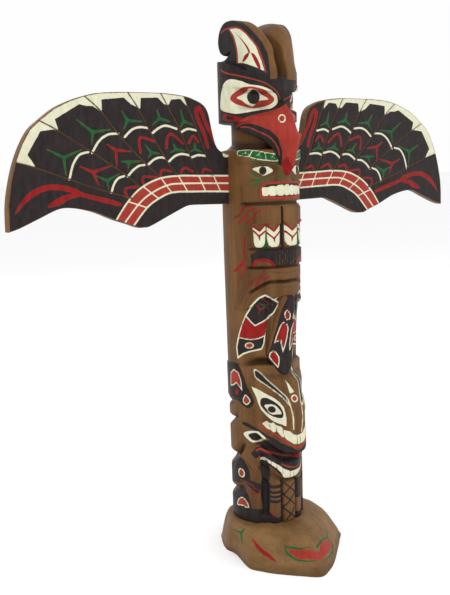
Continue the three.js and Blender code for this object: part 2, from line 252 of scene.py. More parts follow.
# %% [markdown]
# ## The painter's colours
# Each paint has a deep and a pale tone, because brushed paint is never quite even. The black has
# gone a little brown with age and the cream a little yellow. The edges are soft over a third of a
# millimetre and wander by half of one, as a brush line does.

# %% Colours and edges
PAINT_LOOK = {
    "black": ((0.013, 0.009, 0.009), (0.024, 0.017, 0.017)),
    "cream": ((0.54, 0.53, 0.37), (0.64, 0.63, 0.47)),
    "red": ((0.24, 0.022, 0.014), (0.32, 0.034, 0.022)),
    "crimson": ((0.17, 0.005, 0.005), (0.27, 0.009, 0.008)),
    "green": ((0.003, 0.065, 0.013), (0.007, 0.11, 0.024)),
}
EDGE_SOFTNESS = 0.3
EDGE_WOBBLE = 0.5
print("tones for", ", ".join(PAINT_LOOK))

# %% [markdown]
# ## Joining shader nodes
# A material is a tree of nodes. Adding and joining them takes several lines each, so this small
# class keeps the tree and gives each kind of node that the wood needs one short name.

# %% A short way to join nodes
class Nodes:
    """A short way to add and join shader nodes."""

    def __init__(self, name):
        self.material = bpy.data.materials.new(name)
        self.material.use_nodes = True
        self.tree = self.material.node_tree
        self.shader = self.tree.nodes["Principled BSDF"]

    def add(self, kind, **settings):
        node = self.tree.nodes.new(kind)
        for key, value in settings.items():
            setattr(node, key, value)
        return node

    def join(self, source, target):
        self.tree.links.new(source, target)

    def noise(self, vector, scale, detail=3.0):
        node = self.add("ShaderNodeTexNoise")
        node.inputs["Scale"].default_value = scale
        node.inputs["Detail"].default_value = detail
        self.join(vector, node.inputs["Vector"])
        return node.outputs["Fac"]

    def stretched(self, vector, scale):
        node = self.add("ShaderNodeMapping")
        node.inputs["Scale"].default_value = scale
        self.join(vector, node.inputs["Vector"])
        return node.outputs["Vector"]

    def mix(self, factor, low, high):
        node = self.add("ShaderNodeMix", data_type="RGBA")
        sockets = (node.inputs[0], node.inputs[6], node.inputs[7])
        for socket, value in zip(sockets, (factor, low, high)):
            if isinstance(value, (tuple, list)):
                socket.default_value = (*value, 1.0)
            elif isinstance(value, float):
                socket.default_value = value
            else:
                self.join(value, socket)
        return node.outputs[2]

    def ranged(self, value, low, high, to_low=0.0, to_high=1.0):
        node = self.add("ShaderNodeMapRange")
        node.inputs["From Min"].default_value = low
        node.inputs["From Max"].default_value = high
        node.inputs["To Min"].default_value = to_low
        node.inputs["To Max"].default_value = to_high
        self.join(value, node.inputs["Value"])
        return node.outputs["Result"]

    def sum(self, first, second, factor=1.0):
        node = self.add("ShaderNodeMath", operation="MULTIPLY_ADD")
        self.join(second, node.inputs[0])
        node.inputs[1].default_value = factor
        self.join(first, node.inputs[2])
        return node.outputs[0]

    def attribute(self, name):
        node = self.add("ShaderNodeAttribute", attribute_name=name)
        return node.outputs["Fac"]


# %% [markdown]
# ## Paint and wood in one material
# Under the paint is stained softwood: a warm brown with long grain. In the cuts it is darkened as
# painted shade, and so is the paint. One function builds the material for every piece. It reads
# the paint distances and the depth of the carving from the mesh, and mixes each colour in at its
# edge.

# %% The painted-wood material
STREAK_SHADE = 0.55
BLOTCH_SHADE = 1.25
CUT_SHADE = 0.2
PAINT_CUT_SHADE = 0.3
UPRIGHT_GRAIN = (60.0, 60.0, 6.0)
VARNISH_SPECULAR = 0.13
GRAIN_STRENGTH = 0.35
GRAIN_DEPTH = 0.0006  # metres


def shaded(share, colour):
    return tuple(share * c for c in colour)


def painted_wood(name, dark, light, grain=UPRIGHT_GRAIN):
    nodes = Nodes(name)
    place = nodes.add("ShaderNodeTexCoord").outputs["Object"]
    along_grain = nodes.stretched(place, grain)
    broad = nodes.noise(along_grain, 1.0, 4.0)
    fine = nodes.noise(along_grain, 9.0, 4.0)
    patches = nodes.noise(place, 22.0, 2.0)
    colour = nodes.mix(nodes.ranged(broad, 0.3, 0.7), dark, light)
    streak = nodes.ranged(fine, 0.35, 0.75, 0.0, 0.4)
    colour = nodes.mix(streak, colour, shaded(STREAK_SHADE, dark))
    blotch = nodes.ranged(patches, 0.45, 0.8, 0.0, 0.35)
    colour = nodes.mix(blotch, colour, shaded(BLOTCH_SHADE, light))
    # painted shade: the wood and each paint are darkened where the point lies in a cut
    cut = nodes.attribute("cut")
    colour = nodes.mix(nodes.ranged(cut, 0.0, 1.0, 0.0, 0.8), colour, shaded(CUT_SHADE, dark))
    rough = nodes.ranged(broad, 0.3, 0.7, 0.44, 0.6)
    wobble = nodes.noise(place, 260.0, 2.0)
    brush = nodes.noise(nodes.stretched(place, (150.0, 150.0, 60.0)), 1.0, 3.0)
    for paint, (deep, pale) in PAINT_LOOK.items():
        wander = nodes.ranged(wobble, 0, 1, -1, 1)
        distance = nodes.sum(nodes.attribute(paint), wander, EDGE_WOBBLE)
        cover = nodes.ranged(distance, -EDGE_SOFTNESS, EDGE_SOFTNESS, 1.0, 0.0)
        tone = nodes.mix(nodes.ranged(brush, 0.3, 0.7), deep, pale)
        in_cuts = nodes.ranged(cut, 0.2, 1.0, 0.0, 0.45)
        tone = nodes.mix(in_cuts, tone, shaded(PAINT_CUT_SHADE, deep))
        colour = nodes.mix(cover, colour, tone)
    nodes.join(colour, nodes.shader.inputs["Base Color"])
    nodes.join(rough, nodes.shader.inputs["Roughness"])
    nodes.shader.inputs["Specular IOR Level"].default_value = VARNISH_SPECULAR
    bump = nodes.add("ShaderNodeBump")
    bump.inputs["Strength"].default_value = GRAIN_STRENGTH
    bump.inputs["Distance"].default_value = GRAIN_DEPTH
    nodes.join(fine, bump.inputs["Height"])
    nodes.join(bump.outputs["Normal"], nodes.shader.inputs["Normal"])
    return nodes.material


# %% [markdown]
# ## Three woods
# The log's grain stands upright and its stain is the darkest. The wing boards' grain runs
# outwards. The mound is a lighter, rougher offcut with its grain lying down.

# %% The woods of the log, the wings and the mound
LOG_WOOD = painted_wood("stained_log_with_paint", (0.085, 0.036, 0.012), (0.17, 0.082, 0.026))
WING_WOOD = painted_wood("stained_board_with_paint", (0.1, 0.045, 0.015), (0.2, 0.1, 0.034),
    grain=(8.0, 60.0, 60.0))
BASE_WOOD = painted_wood("stained_mound_with_paint", (0.12, 0.06, 0.02), (0.22, 0.12, 0.045),
    grain=(30.0, 12.0, 60.0))
print("materials:", LOG_WOOD.name, WING_WOOD.name, BASE_WOOD.name)

# %% [markdown]
# ## Closed skins from rings
# The log, beak, horns, fin, wings and mound are all closed skins, each built from rings of
# points joined ring to ring. Building the points as one array keeps a dense mesh quick, and the
# two end rings are closed by a fan to their middle.

# %% Build a mesh from rings
def add_piece(name, points, faces, material, node):
    """Points are in millimetres. The mesh and its points are given back for the painter."""
    mesh = bpy.data.meshes.new(name)
    mesh.from_pydata((points * MM).tolist(), [], faces)
    mesh.polygons.foreach_set("use_smooth", [True] * len(mesh.polygons))
    mesh.materials.append(material)
    piece = bpy.data.objects.new(name, mesh)
    bpy.context.scene.collection.objects.link(piece)
    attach(piece, "root")
    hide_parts(node)
    print(name, "has", len(mesh.polygons), "faces")
    return mesh, points


def ring_mesh(name, rings, material, node):
    """rings: an array (levels, points in a ring, 3) in millimetres, from the lowest ring up."""
    levels, count, _ = rings.shape
    points = rings.reshape(-1, 3)
    ends = np.array([rings[0].mean(axis=0), rings[-1].mean(axis=0)])
    points = np.concatenate([points, ends])
    level, step = np.meshgrid(np.arange(levels - 1), np.arange(count), indexing="ij")
    after = (step + 1) % count
    a = level * count + step
    b = level * count + after
    quads = np.stack([a, b, b + count, a + count], -1).reshape(-1, 4)
    loop = np.arange(count)
    turn = (loop + 1) % count
    top = (levels - 1) * count
    low_fan = np.stack([turn, loop, np.full(count, levels * count)], -1)
    high_fan = np.stack([top + loop, top + turn, np.full(count, levels * count + 1)], -1)
    faces = quads.tolist() + low_fan.tolist() + high_fan.tolist()
    return add_piece(name, points, faces, material, node)


def store_cut_shade(mesh, depth=0.0):
    """How much painted shade each point takes, from 0 to 1: how far it lies in a cut."""
    attribute = mesh.attributes.new("cut", "FLOAT", "POINT")
    depth = np.broadcast_to(np.clip(depth, 0, 1), len(mesh.vertices))
    attribute.data.foreach_set("value", depth.astype(np.float32))


# %% [markdown]
# ## The carving, figure by figure
# From the top: a bird's head, its neck, a bear's face over its folded hands, claws and knees, a
# whale coming down head first, and a small creature with its mouth open. Each function gives
# what its carving adds to the log's radius, at angle a from the front and height h.

# %% The bird's head and the bear
def log_taper(h):
    return LOG_RADIUS - 3 * (1 - slope(0, 440, h))


def eye_plane(a, middle=46.0, half=34.0):
    """What a flat cut over each eye takes off the round log."""
    off = np.minimum(np.abs(a - middle), half)
    return LOG_RADIUS * (math.cos(math.radians(half)) / np.cos(np.radians(off)) - 1)


def bird_head(h, a):
    block = band(556, 700, 2, h) * (2 - 5 * (1 - slope(20, 120, a)))
    cheek = -3 * band(556, 580, 20, h) * (1 - slope(30, 75, a))
    eye = 1.6 * oval(49, 587, 26, 12, a, h)
    brow = 1.2 * band(606, 613, 4, h) * band(0, 100, 15, a)
    return block + cheek + eye + brow + eye_plane(a) * band(574, 601, 6, h)


def bird_neck(h, a):
    shoulder = 6 * (1 - slope(519, 527, h)) * slope(60, 120, a)
    return (shoulder - 15) * band(520, 553, 2, h)


def bear_face(h, a):
    face = band(449, 519, 2, h)
    flat = -2 * face * (1 - slope(20, 70, a))
    brow_band = 1.8 * band(503, 517, 1.5, h) * band(9, 74, 3, a)
    socket = -2 * oval(34, 492, 22, 12, a, h)
    eye = 2 * oval(34, 491, 16, 6, a, h)
    nose = 5 * band(476, 496, 3, h) * (1 - slope(6, 14, a))
    lips = 2 * band(453, 475, 1.5, h) * (1 - slope(36, 40, a))
    teeth = -1 * band(457, 471, 1, h) * (1 - slope(33, 36, a))
    chin_cut = -5 * band(445, 448, 2, h) * (1 - slope(62, 76, a))
    return flat + brow_band + socket + eye + nose + lips + teeth + chin_cut


def bear_hands(h, a):
    hollow = -2.5 * band(391, 442, 2, h) * (1 - slope(58, 72, a))
    knuckles = 2.6 * band(421, 440, 3, h) * band(6, 44, 4, a)
    fingers = sum(1.8 * band(391, 421, 2, h) * band(at - 8, at + 8, 2, a) for at in (20, 42))
    split = -4 * band(391, 441, 1.5, h) * (1 - slope(2, 4, a))
    wrist_cut = -4 * band(385.2, 387.2, 1.5, h) * (1 - slope(55, 62, a))
    return hollow + knuckles + fingers + split + wrist_cut


# %% [markdown]
# ## The middle of the log
# Below the hands come the bear's ribbed claws and its folded knees. A deep field is cut back
# between the knees so that the fin can stand in it, and the whale's snout swells out under it.

# %% The claws, the knees and the whale
def claws(h, a):
    paw = 0.5 * band(364, 386, 2, h) * (1 - slope(52, 60, a))
    ribs = -1.5 * band(363, 384, 1.5, h) * (1 - slope(17, 20, a)) * np.sin(np.radians(a) * 28) ** 2
    cut = -5.5 * band(360.5, 361.5, 2, h) * (1 - slope(55, 68, a))
    return paw + ribs + cut


def knees(h, a):
    ledge = -1 * band(323, 358, 2, h) * (1 - slope(55, 75, a))
    recess = -4.5 * band(339.5, 342, 1.5, h) * (1 - slope(52, 70, a))
    return ledge + recess


def fin_field(h, a):
    depth = 5 + 9 * (1 - slope(245, 318, h))
    field = band(226, 319, 2, h) * (1 - slope(45, 88, a))
    groove = -3 * band(240, 318, 4, h) * band(27, 33, 3, a)
    return -depth * field + groove


def whale(h, a):
    waist = -8 * band(212, 226, 14, h) * (1 - slope(40, 80, a))
    snout = 20 * (1 - slope(150, 222, h)) * slope(98, 106, h) * (1 - slope(4, 44, a))
    eye = 1.6 * oval(28, 168, 20, 13, a, h)
    lip = 1.2 * band(104, 125, 1.5, h) * (1 - slope(44, 54, a))
    ear = 1.5 * band(178, 222, 3, h) * band(66, 150, 6, a)
    return waist + snout + eye + lip + ear


# %% [markdown]
# ## The foot of the log
# The small creature holds its mouth open under the whale. Notches at its sides part the curled
# lobes. All the figures are then added to the log's own slow taper, and the heights lean: the
# rim of the bird's head dips to the front and the creature's jaw rises to the sides.

# %% The small creature, and all the figures together
def cub(h, a):
    mouth = -7 * band(90, 102, 2, h) * (1 - slope(50, 62, a))
    jaw = 5 * band(66, 86, 3, h) * (1 - slope(5, 40, a))
    jaw_cut = -2.5 * band(58, 62, 2, h) * (1 - slope(48, 60, a))
    leg_split = -3 * band(0, 58, 2, h) * (band(12, 16, 1.5, a) + band(34, 50, 4, a))
    sides = slope(55, 68, a) * (1 - slope(136, 165, a))
    notches = ((167, 7, 4, 78), (140, 10, 13, 78), (86, 13, 12, 62), (38, 10, 9, 62))
    curls = sum(-deep * swell(height, reach, h) * slope(start, start + 34, a)
                for height, reach, deep, start in notches) * sides
    side_hollow = -5 * (band(62, 78, 3, h) + band(12, 48, 3, h)) * band(38, 46, 3, a)
    return mouth + jaw + jaw_cut + leg_split + curls + side_hollow


def carved_radius(h, a):
    figures = (bird_head, bird_neck, bear_face, bear_hands, claws, knees, fin_field, whale, cub)
    return log_taper(h) + sum(figure(h, a) for figure in figures)


def leaned_height(h, a):
    rim = -24 * slope(575, 637, h) * (1 - slope(20, 115, a))
    jaw = 26 * band(70, 128, 55, h) * slope(5, 60, a) * (1 - slope(70, 110, a))
    knee = -18 * band(322, 345, 12, h) * slope(25, 75, a) * (1 - slope(80, 120, a))
    return h + rim + jaw + knee


# %% [markdown]
# ## Log points
# The log is wrapped in rings that run from the foot to the rim of the bird's head. The
# columns are close together where the carving is and wide behind, where the log is plain. Above
# the rim a few shrinking rings make the flat top of the head.

# %% The log's rings
FRONT_COLUMNS = 178
BACK_COLUMNS = 26
FRONT_LIMIT = 124.0
ROWS = 456
RIM_HEIGHT = 637.0
TOP_SHARES = (0.985, 0.94, 0.86, 0.74, 0.6, 0.45, 0.3, 0.15)

front = np.linspace(-FRONT_LIMIT, FRONT_LIMIT, FRONT_COLUMNS)
behind = np.linspace(FRONT_LIMIT, 360 - FRONT_LIMIT, BACK_COLUMNS + 2)[1:-1]
column_angle = np.concatenate([front, behind])
row_height = np.linspace(0, RIM_HEIGHT, ROWS)
turn_angle, drawn_height = np.meshgrid(column_angle, row_height)
side_angle = np.where(turn_angle > 180, turn_angle - 360, turn_angle)
off_front = np.abs(side_angle)
print("the log is", ROWS, "rings of", len(column_angle), "points")

# %% [markdown]
# The bear's hands aren't quite alike: the cut between them sits to the left of the middle, and
# the right hand's fingers reach round to meet it. The angles are bent at the height of the
# hands so that one drawing serves both.

# %% Bend the angles at the hands
HAND_PLACES = [-180, -52, -42, -20, -10, -6.5, -3, 13, 31, 48, 60, 180]
HAND_ANGLES = [180, 52, 42, 20, 9, 0, 9, 20, 31, 42, 54, 180]


def hand_angle(angle, h):
    bent = np.interp(angle, HAND_PLACES, HAND_ANGLES)
    share = band(386, 442, 3, h)
    return np.abs(angle) * (1 - share) + bent * share


radius = carved_radius(drawn_height, hand_angle(side_angle, drawn_height))
right_side = slope(0, 12, side_angle) * band(574, 601, 6, drawn_height)
radius += right_side * (eye_plane(off_front, 52.0, 30.0) - eye_plane(off_front))
height = leaned_height(drawn_height, off_front)
print("radius from", round(radius.min(), 1), "to", round(radius.max(), 1), "mm")

# %% [markdown]
# ## Knife cuts
# Last come the narrow cuts: the folds of the bear's knees and arms, the edges of the small
# creature's limbs. Each is a line drawn at angles and heights, cut with a V tool.

# %% Cut the narrow grooves
DEGREE = math.pi * LOG_RADIUS / 180
CUT_WIDTH = 4.6
CUTS = [
    (1.6, [(75, 311), (68, 324), (59, 336), (46, 345), (37, 352), (24, 354), (5, 352), (-7, 351)]),
    (1.6, [(68, 306), (62, 320), (53, 328), (37, 336), (22, 344), (1, 339), (-2, 338)]),
    (1.4, [(64, 305), (52, 322), (35, 331), (14, 333), (-4, 331)]),
    (1.3, [(84, 304), (77, 320), (64, 337), (53, 346)]),
    (1.2, [(80, 430), (72, 434), (64, 442)]),
    (1.2, [(66, 405), (65, 372)]),
    (1.2, [(70, 83), (61, 75), (58, 65)]),
    (1.2, [(60, 90), (52, 82), (47, 72), (46, 64)]),
    (1.2, [(104, 82), (90, 91), (80, 91), (71, 85), (64, 77), (60, 66), (60, 60)]),
    (1.2, [(100, 38), (87, 44), (77, 42), (69, 36), (65, 28), (66, 20)]),
    (1.0, [(78, 143), (67, 141), (56, 137), (46, 131), (33, 126)]),
    (1.0, [(112, 224), (88, 228), (78, 222), (71, 209), (65, 196), (60, 184), (56, 175)])]


for depth, line in CUTS:
    gap, _ = line_distance(off_front * DEGREE, height, curved(np.array(line) * (DEGREE, 1)))
    radius = radius - depth * (1 - slope(0, CUT_WIDTH / 2, gap))
print(len(CUTS), "cuts on each side")

# %% [markdown]
# Shade gathers in the cuts, and here it is painted in. Comparing the surface with a softened copy
# of itself shows where it lies below its surroundings, and the material is painted darker there as
# shade.

# %% Wrap the skin and note the cuts
SOFTENING = 6


def softened(values, reach):
    steps = range(-2 * reach, 2 * reach + 1)
    weights = np.exp(-0.5 * (np.array(steps) / reach) ** 2)
    weights /= weights.sum()
    rows = np.arange(len(values))
    last = len(values) - 1
    along = sum(w * values[np.clip(rows + k, 0, last)] for k, w in zip(steps, weights))
    return sum(w * np.roll(along, k, axis=1) for k, w in zip(steps, weights))


theta = np.radians(turn_angle)
log_rings = np.stack([radius * np.sin(theta), -radius * np.cos(theta), height + FOOT], -1)
crown = [log_rings[-1] * np.array([share, share, 1.0]) for share in TOP_SHARES]
log_rings = np.concatenate([log_rings, np.array(crown)])
log_mesh, log_points = ring_mesh("carved_log", log_rings, LOG_WOOD, "pole")
# painted shade: each point is darkened by how far it lies below its softened surroundings
log_cut_shade = np.zeros(len(log_points))
log_cut_shade[:radius.size] = ((softened(radius, SOFTENING) - radius - 0.2) / 3).ravel()
store_cut_shade(log_mesh, log_cut_shade)

# %% [markdown]
# ## Painting the log
# The two halves of the carving are alike, so most of the drawing is made once, for angles
# measured from the front either way. Across the surface one degree is just under a millimetre.
# Three more drawings lie over it: one for the hands, one for what isn't alike on both sides, and
# one for the bird's head, whose right side is flatter. All four paint the same colours.

# %% Paint coordinates on the log
SLANT = math.radians(35.6)
BEAK_TOP = [(-38, 549.2), (-35.4, 549.6), (-29, 555.5), (-22.7, 559.6), (-14, 562.4),
    (-5.7, 564.2), (3, 566), (12.4, 568.1), (26.1, 572.2), (33.4, 577)]
point_across = np.abs(log_points[:, 0])
signed_angle = np.degrees(np.arctan2(log_points[:, 0], -log_points[:, 1]))
point_angle = np.abs(signed_angle)
point_height = log_points[:, 2] - FOOT
HEAD_PLACES = [-180, 0, 22, 80, 180]
HEAD_ANGLES = [180, 0, 7, 80, 180]


def angle_paint(angle, over=None):
    """A drawing made in degrees round the log and millimetres up it."""
    return Paint(angle * DEGREE, point_height, across=DEGREE, over=over)


log_paint = angle_paint(point_angle)
hands_paint = angle_paint(hand_angle(signed_angle, point_height), log_paint)
centre_paint = angle_paint(signed_angle, log_paint)
head_paint = angle_paint(np.interp(signed_angle, HEAD_PLACES, HEAD_ANGLES), log_paint)
print("four drawings share", len(log_points), "points of the log")

# %% [markdown]
# ## The bird's head
# The head is black, with a red line along the brow. A large cream field round each eye holds a
# red almond, a cream eye and a black pupil. The red of the beak runs over the cheek, and a small
# red shape fills the corner of the jaw.

# %% Paint the bird's head
head_paint.shape("black", [(-9, 552), (-9, 700), (185, 700), (185, 552)], smooth=False)
head_paint.stroke("red", [(102, 625), (89, 620), (64, 614), (37, 607), (22, 601), (10, 592),
    (2, 583)], 2.0, 0.6)
head_paint.shape("cream", [(84, 611), (98, 602), (105, 590), (107, 576), (98, 571), (85, 568),
    (71, 566), (50, 568), (35, 570), (18, 572), (9, 577), (7, 582), (11, 589), (18, 594),
    (33, 600), (51, 603), (64, 608)])
head_paint.shape("red", [(82, 587), (76, 594), (67.5, 598), (50, 600), (31, 596), (18, 589),
    (13, 583), (17, 578), (28.5, 574.5), (51, 573), (71, 577.5), (79, 582)])
head_paint.shape("cream", [(73.5, 587), (64.5, 591), (58, 595.5), (50, 597.5), (40.5, 595),
    (33, 590), (21, 583.5), (38, 582), (45, 577), (51, 575), (59, 578), (66, 583)])
head_paint.dot("black", (47.2, 587), 10.2, 9.2)
cheek_s = -point_across * math.cos(SLANT) - log_points[:, 1] * math.sin(SLANT)
on_cheek = (point_angle < 80) & (point_height > 549) & (point_height < 585)
cheek_paint = Paint(cheek_s, point_height, allowed=on_cheek, over=log_paint)
cheek_paint.shape("red", BEAK_TOP + [(46, 577), (46, 540), (-40, 540)], smooth=False)
head_paint.shape("crimson", [(98, 567), (84, 565), (70, 562), (62, 559), (70, 556), (88, 557),
    (99, 560)])
head_paint.shape("black", [(92, 564), (82, 563), (76, 560), (88, 559)])

# %% [markdown]
# ## The bear's face
# A headband of green cells with cream forks crosses the brow. The eyes are small, with green
# lines on the cheeks. The teeth are painted one by one, wider at the left than at the right,
# inside black and red lips.

# %% Paint the bear's face
log_paint.shape("cream", [(72, 512), (70, 518), (58, 519), (41, 517), (32, 515), (13, 512),
    (11, 505), (12, 502), (27, 503), (42, 505), (55, 509), (70, 511)], smooth=False)
for cell in ([(70.6, 512.4), (69, 516.8), (58, 517.8), (49.5, 517), (53.9, 510.2), (56, 510.2)],
        [(52.2, 509.6), (47.8, 516.7), (41, 515.8), (32.2, 513.8), (30, 505), (42, 506.4)],
        [(30.6, 513.4), (14.4, 510.8), (12.6, 505), (13.2, 503.4), (27, 504.4), (28.6, 504.8)]):
    log_paint.shape("green", cell, smooth=False)
log_paint.forks("cream", 1.2, 0.5, [[(58, 514), (53, 512), (58, 517.5), (64, 514)],
    [(40, 511.5), (35, 508), (38, 515), (44, 510.5)],
    [(20, 508), (15, 505.5), (19, 511), (25, 507.5)]])
log_paint.stroke("green", [(50, 503), (42, 501.5), (28, 500), (12, 498)], 2.0, 0.7)
log_paint.shape("cream", [(50, 493), (42, 495.5), (34, 496.5), (26, 495), (19, 490), (26, 486),
    (34, 484), (40, 487), (44, 490)])
log_paint.dot("black", (34.5, 490.5), 5.2)
log_paint.strokes("green", 2.8, 0.5, [[(50, 488), (45, 484), (42, 481)],
    [(52, 478), (39, 479), (23, 481)], [(42, 479), (44, 473), (50, 469)]])
centre_paint.strokes("green", 2.0, 0.7, [[(-8, 486), (-11, 481), (-10.5, 477)],
    [(12, 485), (16, 481), (15.5, 477)]])
log_paint.shape("red", [(-6, 452), (-6, 475), (10, 475), (29, 475), (37, 471), (40, 466),
    (40, 455), (17, 452)], smooth=False)
log_paint.shape("black", [(-6, 455.5), (-6, 472.8), (28, 472.6), (35, 468.5), (37.6, 463),
    (36.6, 457.4), (17, 455.8)], smooth=False)
TOOTH_EDGES = [-36.5, -26.3, -14.2, -1.8, 8.5, 19, 30, 37]
for near, far in zip(TOOTH_EDGES, TOOTH_EDGES[1:]):
    near, far, top = near + 0.15, far - 0.15, 471.6 - 0.05 * abs(near + far)
    centre_paint.shape("cream", [
        (near, 461), (near, 468), (near + 2, top), (far - 2, top), (far, 468), (far, 461),
        (far - 1.6, 457.4), (near + 1.6, 457.4)])

# %% [markdown]
# ## Arms, fingers and claws
# Red hairs mark the arms. Each finger ends in a cream nail with two red chevrons. The claws under
# them are black with thin red and green lines, and a red arc rounds their ends. Bare wood shows
# inside the arc, and the colour called bare is the absence of all the others.

# %% Paint the bear's arms, fingers and claws
log_paint.strokes("crimson", 2.4, 0.8, [[(80, 428), (72, 432), (66, 441), (60, 443), (54, 443)],
    [(74, 422), (66, 425), (58, 436), (48, 442)], [(60, 422), (51, 428), (44, 436), (36, 440)]])
hands_paint.shape("green", [(29, 386.5), (31, 400), (31, 419), (34, 419), (33, 400), (37, 387)],
    smooth=False)
FINGERS = [[(52, 418), (41, 411), (32, 420), (33, 405), (33.5, 395), (35.5, 391), (39, 388.6),
    (46, 388.6), (49, 391.5), (50, 397), (50.5, 408)], [(31, 418), (20, 410), (9, 420), (9.6, 406),
    (10, 396), (12, 391.5), (16, 388.6), (24, 388.6), (28, 391.5), (30, 397), (31, 408)]]
for outline in FINGERS:
    hands_paint.shape("cream", outline, smooth=False)
    hands_paint.stroke("crimson", outline[:3], 2.6, smooth=False)
CHEVRONS = [[(50, 411), (42, 403.5), (33.5, 410)], [(30.5, 408), (20, 400), (10, 409)]]
for chevron in CHEVRONS:
    a, h = chevron[1]
    hands_paint.stroke("crimson", chevron, 2.2, smooth=False)
    hands_paint.stroke("crimson", [(a, h), (a - 1, h - 6)], 3.0, 0.2)
# painted shade: black strokes fill the deep split between the hands
hands_paint.stroke("black", [(0, 386), (0, 418)], 15.0)
hands_paint.stroke("black", [(0, 414), (0, 440)], 9.0)
log_paint.shape("black", [(-8, 362.5), (-8, 385), (10, 385.5), (30, 386), (46, 384.5), (55, 379),
    (54.5, 362.5)], smooth=False)
for number, place in enumerate(range(-17, 44, 5)):
    colour = ("crimson", "green")[number % 2]
    centre_paint.stroke(colour, [(place - 2, 363), (place, 374), (place - 1, 383)], 0.8, 0.6)
RED_ARC = [(51, 362.5), (50, 367), (45.5, 370.4), (38, 371.4), (30, 370.4), (24.5, 367),
    (22, 362.5)]
log_paint.shape("bare", RED_ARC)
log_paint.stroke("crimson", RED_ARC, 3.8)
log_paint.stroke("crimson", [(65, 401), (66, 356), (72, 347), (78, 338)], 2.6, 0.7)
log_paint.shape("crimson", [(87, 355), (77, 363), (67, 369), (67, 365), (76, 357)])
log_paint.strokes("crimson", 2.6, 0.8, [[(60, 336), (53, 344), (46, 348)],
    [(49, 336), (42, 346), (36, 354)], [(35, 344), (28, 350)]])

# %% [markdown]
# ## The fins at the sides
# Each side has a long fin panel with a cream edge. Inside it are a black tip with red and green
# strokes, a red field between a chevron and an arc, and a black end with a ringed dot.

# %% Paint the side fins
PANEL = [(35, 325), (22, 318), (10, 312), (20, 298), (30, 290), (34, 275), (38, 254), (43, 246),
    (65, 243), (74, 240), (84, 233), (86, 250), (81, 267), (76, 280), (68, 296), (58, 309),
    (45, 321)]
log_paint.outlined("cream", "black", PANEL, 2.2, smooth=False)
PANEL_V = [(67, 294), (60, 286), (54, 280.5), (40, 286), (29, 291)]
PANEL_ARC = [(80, 264), (70, 262), (62, 261), (50, 262), (37, 266)]
log_paint.shape("crimson", PANEL_V + [(34, 277)] + PANEL_ARC[::-1] + [(74, 281)], smooth=False)
log_paint.stroke("cream", PANEL_V, 2.0, smooth=False)
log_paint.stroke("cream", PANEL_ARC, 1.5)
log_paint.dot("cream", (65, 252.5), 6.4, 4.4)
log_paint.dot("red", (65, 252.5), 4.6, 3.0)
log_paint.strokes("crimson", 2.0, 0.4, [[(38, 319), (32, 313), (22, 309)],
    [(44, 303), (36, 306), (28, 304)], [(50, 311), (45, 305), (46, 296)]])
log_paint.stroke("green", [(45, 312), (38, 309.5), (30, 309)], 2.4, 0.5)
log_paint.stroke("cream", [(19, 316.5), (12, 320.5)], 2.0, 0.3)

# %% [markdown]
# ## The whale
# A black ear with a red arrow and a drop lies at each side. Two cream lines with black between
# them run from the brow down the snout, drawn apart for the left and the right. Each eye is a
# long cream shape with a black oval and a pupil.

# %% Paint the whale
log_paint.shape("black", [(111, 223), (88, 227), (78, 221), (72, 209), (66, 196), (60, 184),
    (56, 175), (58, 170), (66, 165), (75, 168), (86, 174), (105, 176), (110, 203)])
log_paint.outlined("cream", "red", [(103, 192), (101, 212), (91, 218.5), (81, 215), (76, 205),
    (74.5, 189), (86, 199), (92, 195)], 1.7, smooth=False)
log_paint.shape("crimson", [(86, 191), (82, 188), (85, 182), (90, 185)])
log_paint.outlined("cream", "red", [(68.5, 185), (62.5, 179), (62.5, 174), (69, 169.5),
    (75.5, 174), (73, 180)], 1.6)
UPPER_LINE = [(56, 220), (48, 216), (35, 206), (26, 199), (15, 188), (10.5, 182), (8.5, 176),
    (7.5, 167), (6.5, 156), (6, 138)]
LOWER_LINE = [(56, 220), (56, 214), (53, 208), (36, 199), (21, 188), (14.5, 181), (10.5, 175),
    (8, 170.5)]
RIGHT_UPPER = [(16, 221), (17, 214), (17.5, 206), (16.5, 197), (13, 187), (11, 181), (9, 173),
    (8, 163), (7, 150), (6, 141), (5, 133)]
RIGHT_LOWER = [(16, 221), (21, 213), (25, 204), (26, 196), (23, 188), (19, 180), (15, 174),
    (10, 169)]
for upper, lower, side in ((UPPER_LINE, LOWER_LINE, -1), (RIGHT_UPPER, RIGHT_LOWER, 1)):
    upper = [(side * a, h) for a, h in upper]
    lower = [(side * a, h) for a, h in lower]
    centre_paint.shape("black", upper[:7] + lower[:0:-1], smooth=False)
    centre_paint.stroke("cream", upper, 1.5)
    centre_paint.stroke("cream", lower, 1.5)
log_paint.shape("cream", [(60, 197), (50, 193.5), (36, 186.5), (26, 181.5), (20, 176.5),
    (16.5, 171), (15, 163), (14, 155), (14, 143.5), (19, 146), (28, 149.5), (36, 155.5), (45, 164),
    (50, 175), (52, 182), (56, 190)], smooth=False)
log_paint.shape("black", [(46, 177), (43, 181), (36, 181.5), (28, 178), (22, 173.5), (18.5, 168),
    (17, 162), (17.5, 156), (22, 154.8), (30, 157), (38, 162), (45, 170)])
log_paint.shape("cream", [(40, 171), (34, 173), (28, 173.2), (24, 170.5), (20.5, 165.5), (19, 161),
    (24, 160), (29, 159), (34, 161.5), (37, 166.5)])
log_paint.dot("black", (30, 166.2), 4.7)
centre_paint.outlined("green", "cream", [(-8, 206), (-5.5, 205), (4, 187), (-6, 185.5)], 0.9,
    smooth=False)
centre_paint.dot("cream", (0, 179.5), 5.0)
centre_paint.dot("red", (0, 179.5), 3.2)
print("painted down to the whale")

# %% [markdown]
# ## Two mouths
# The whale's teeth lie along a red lip. Below them the small creature's mouth is black, with a
# red gum, a red tongue and a curved row of teeth, and its slanting eyes look up past it.

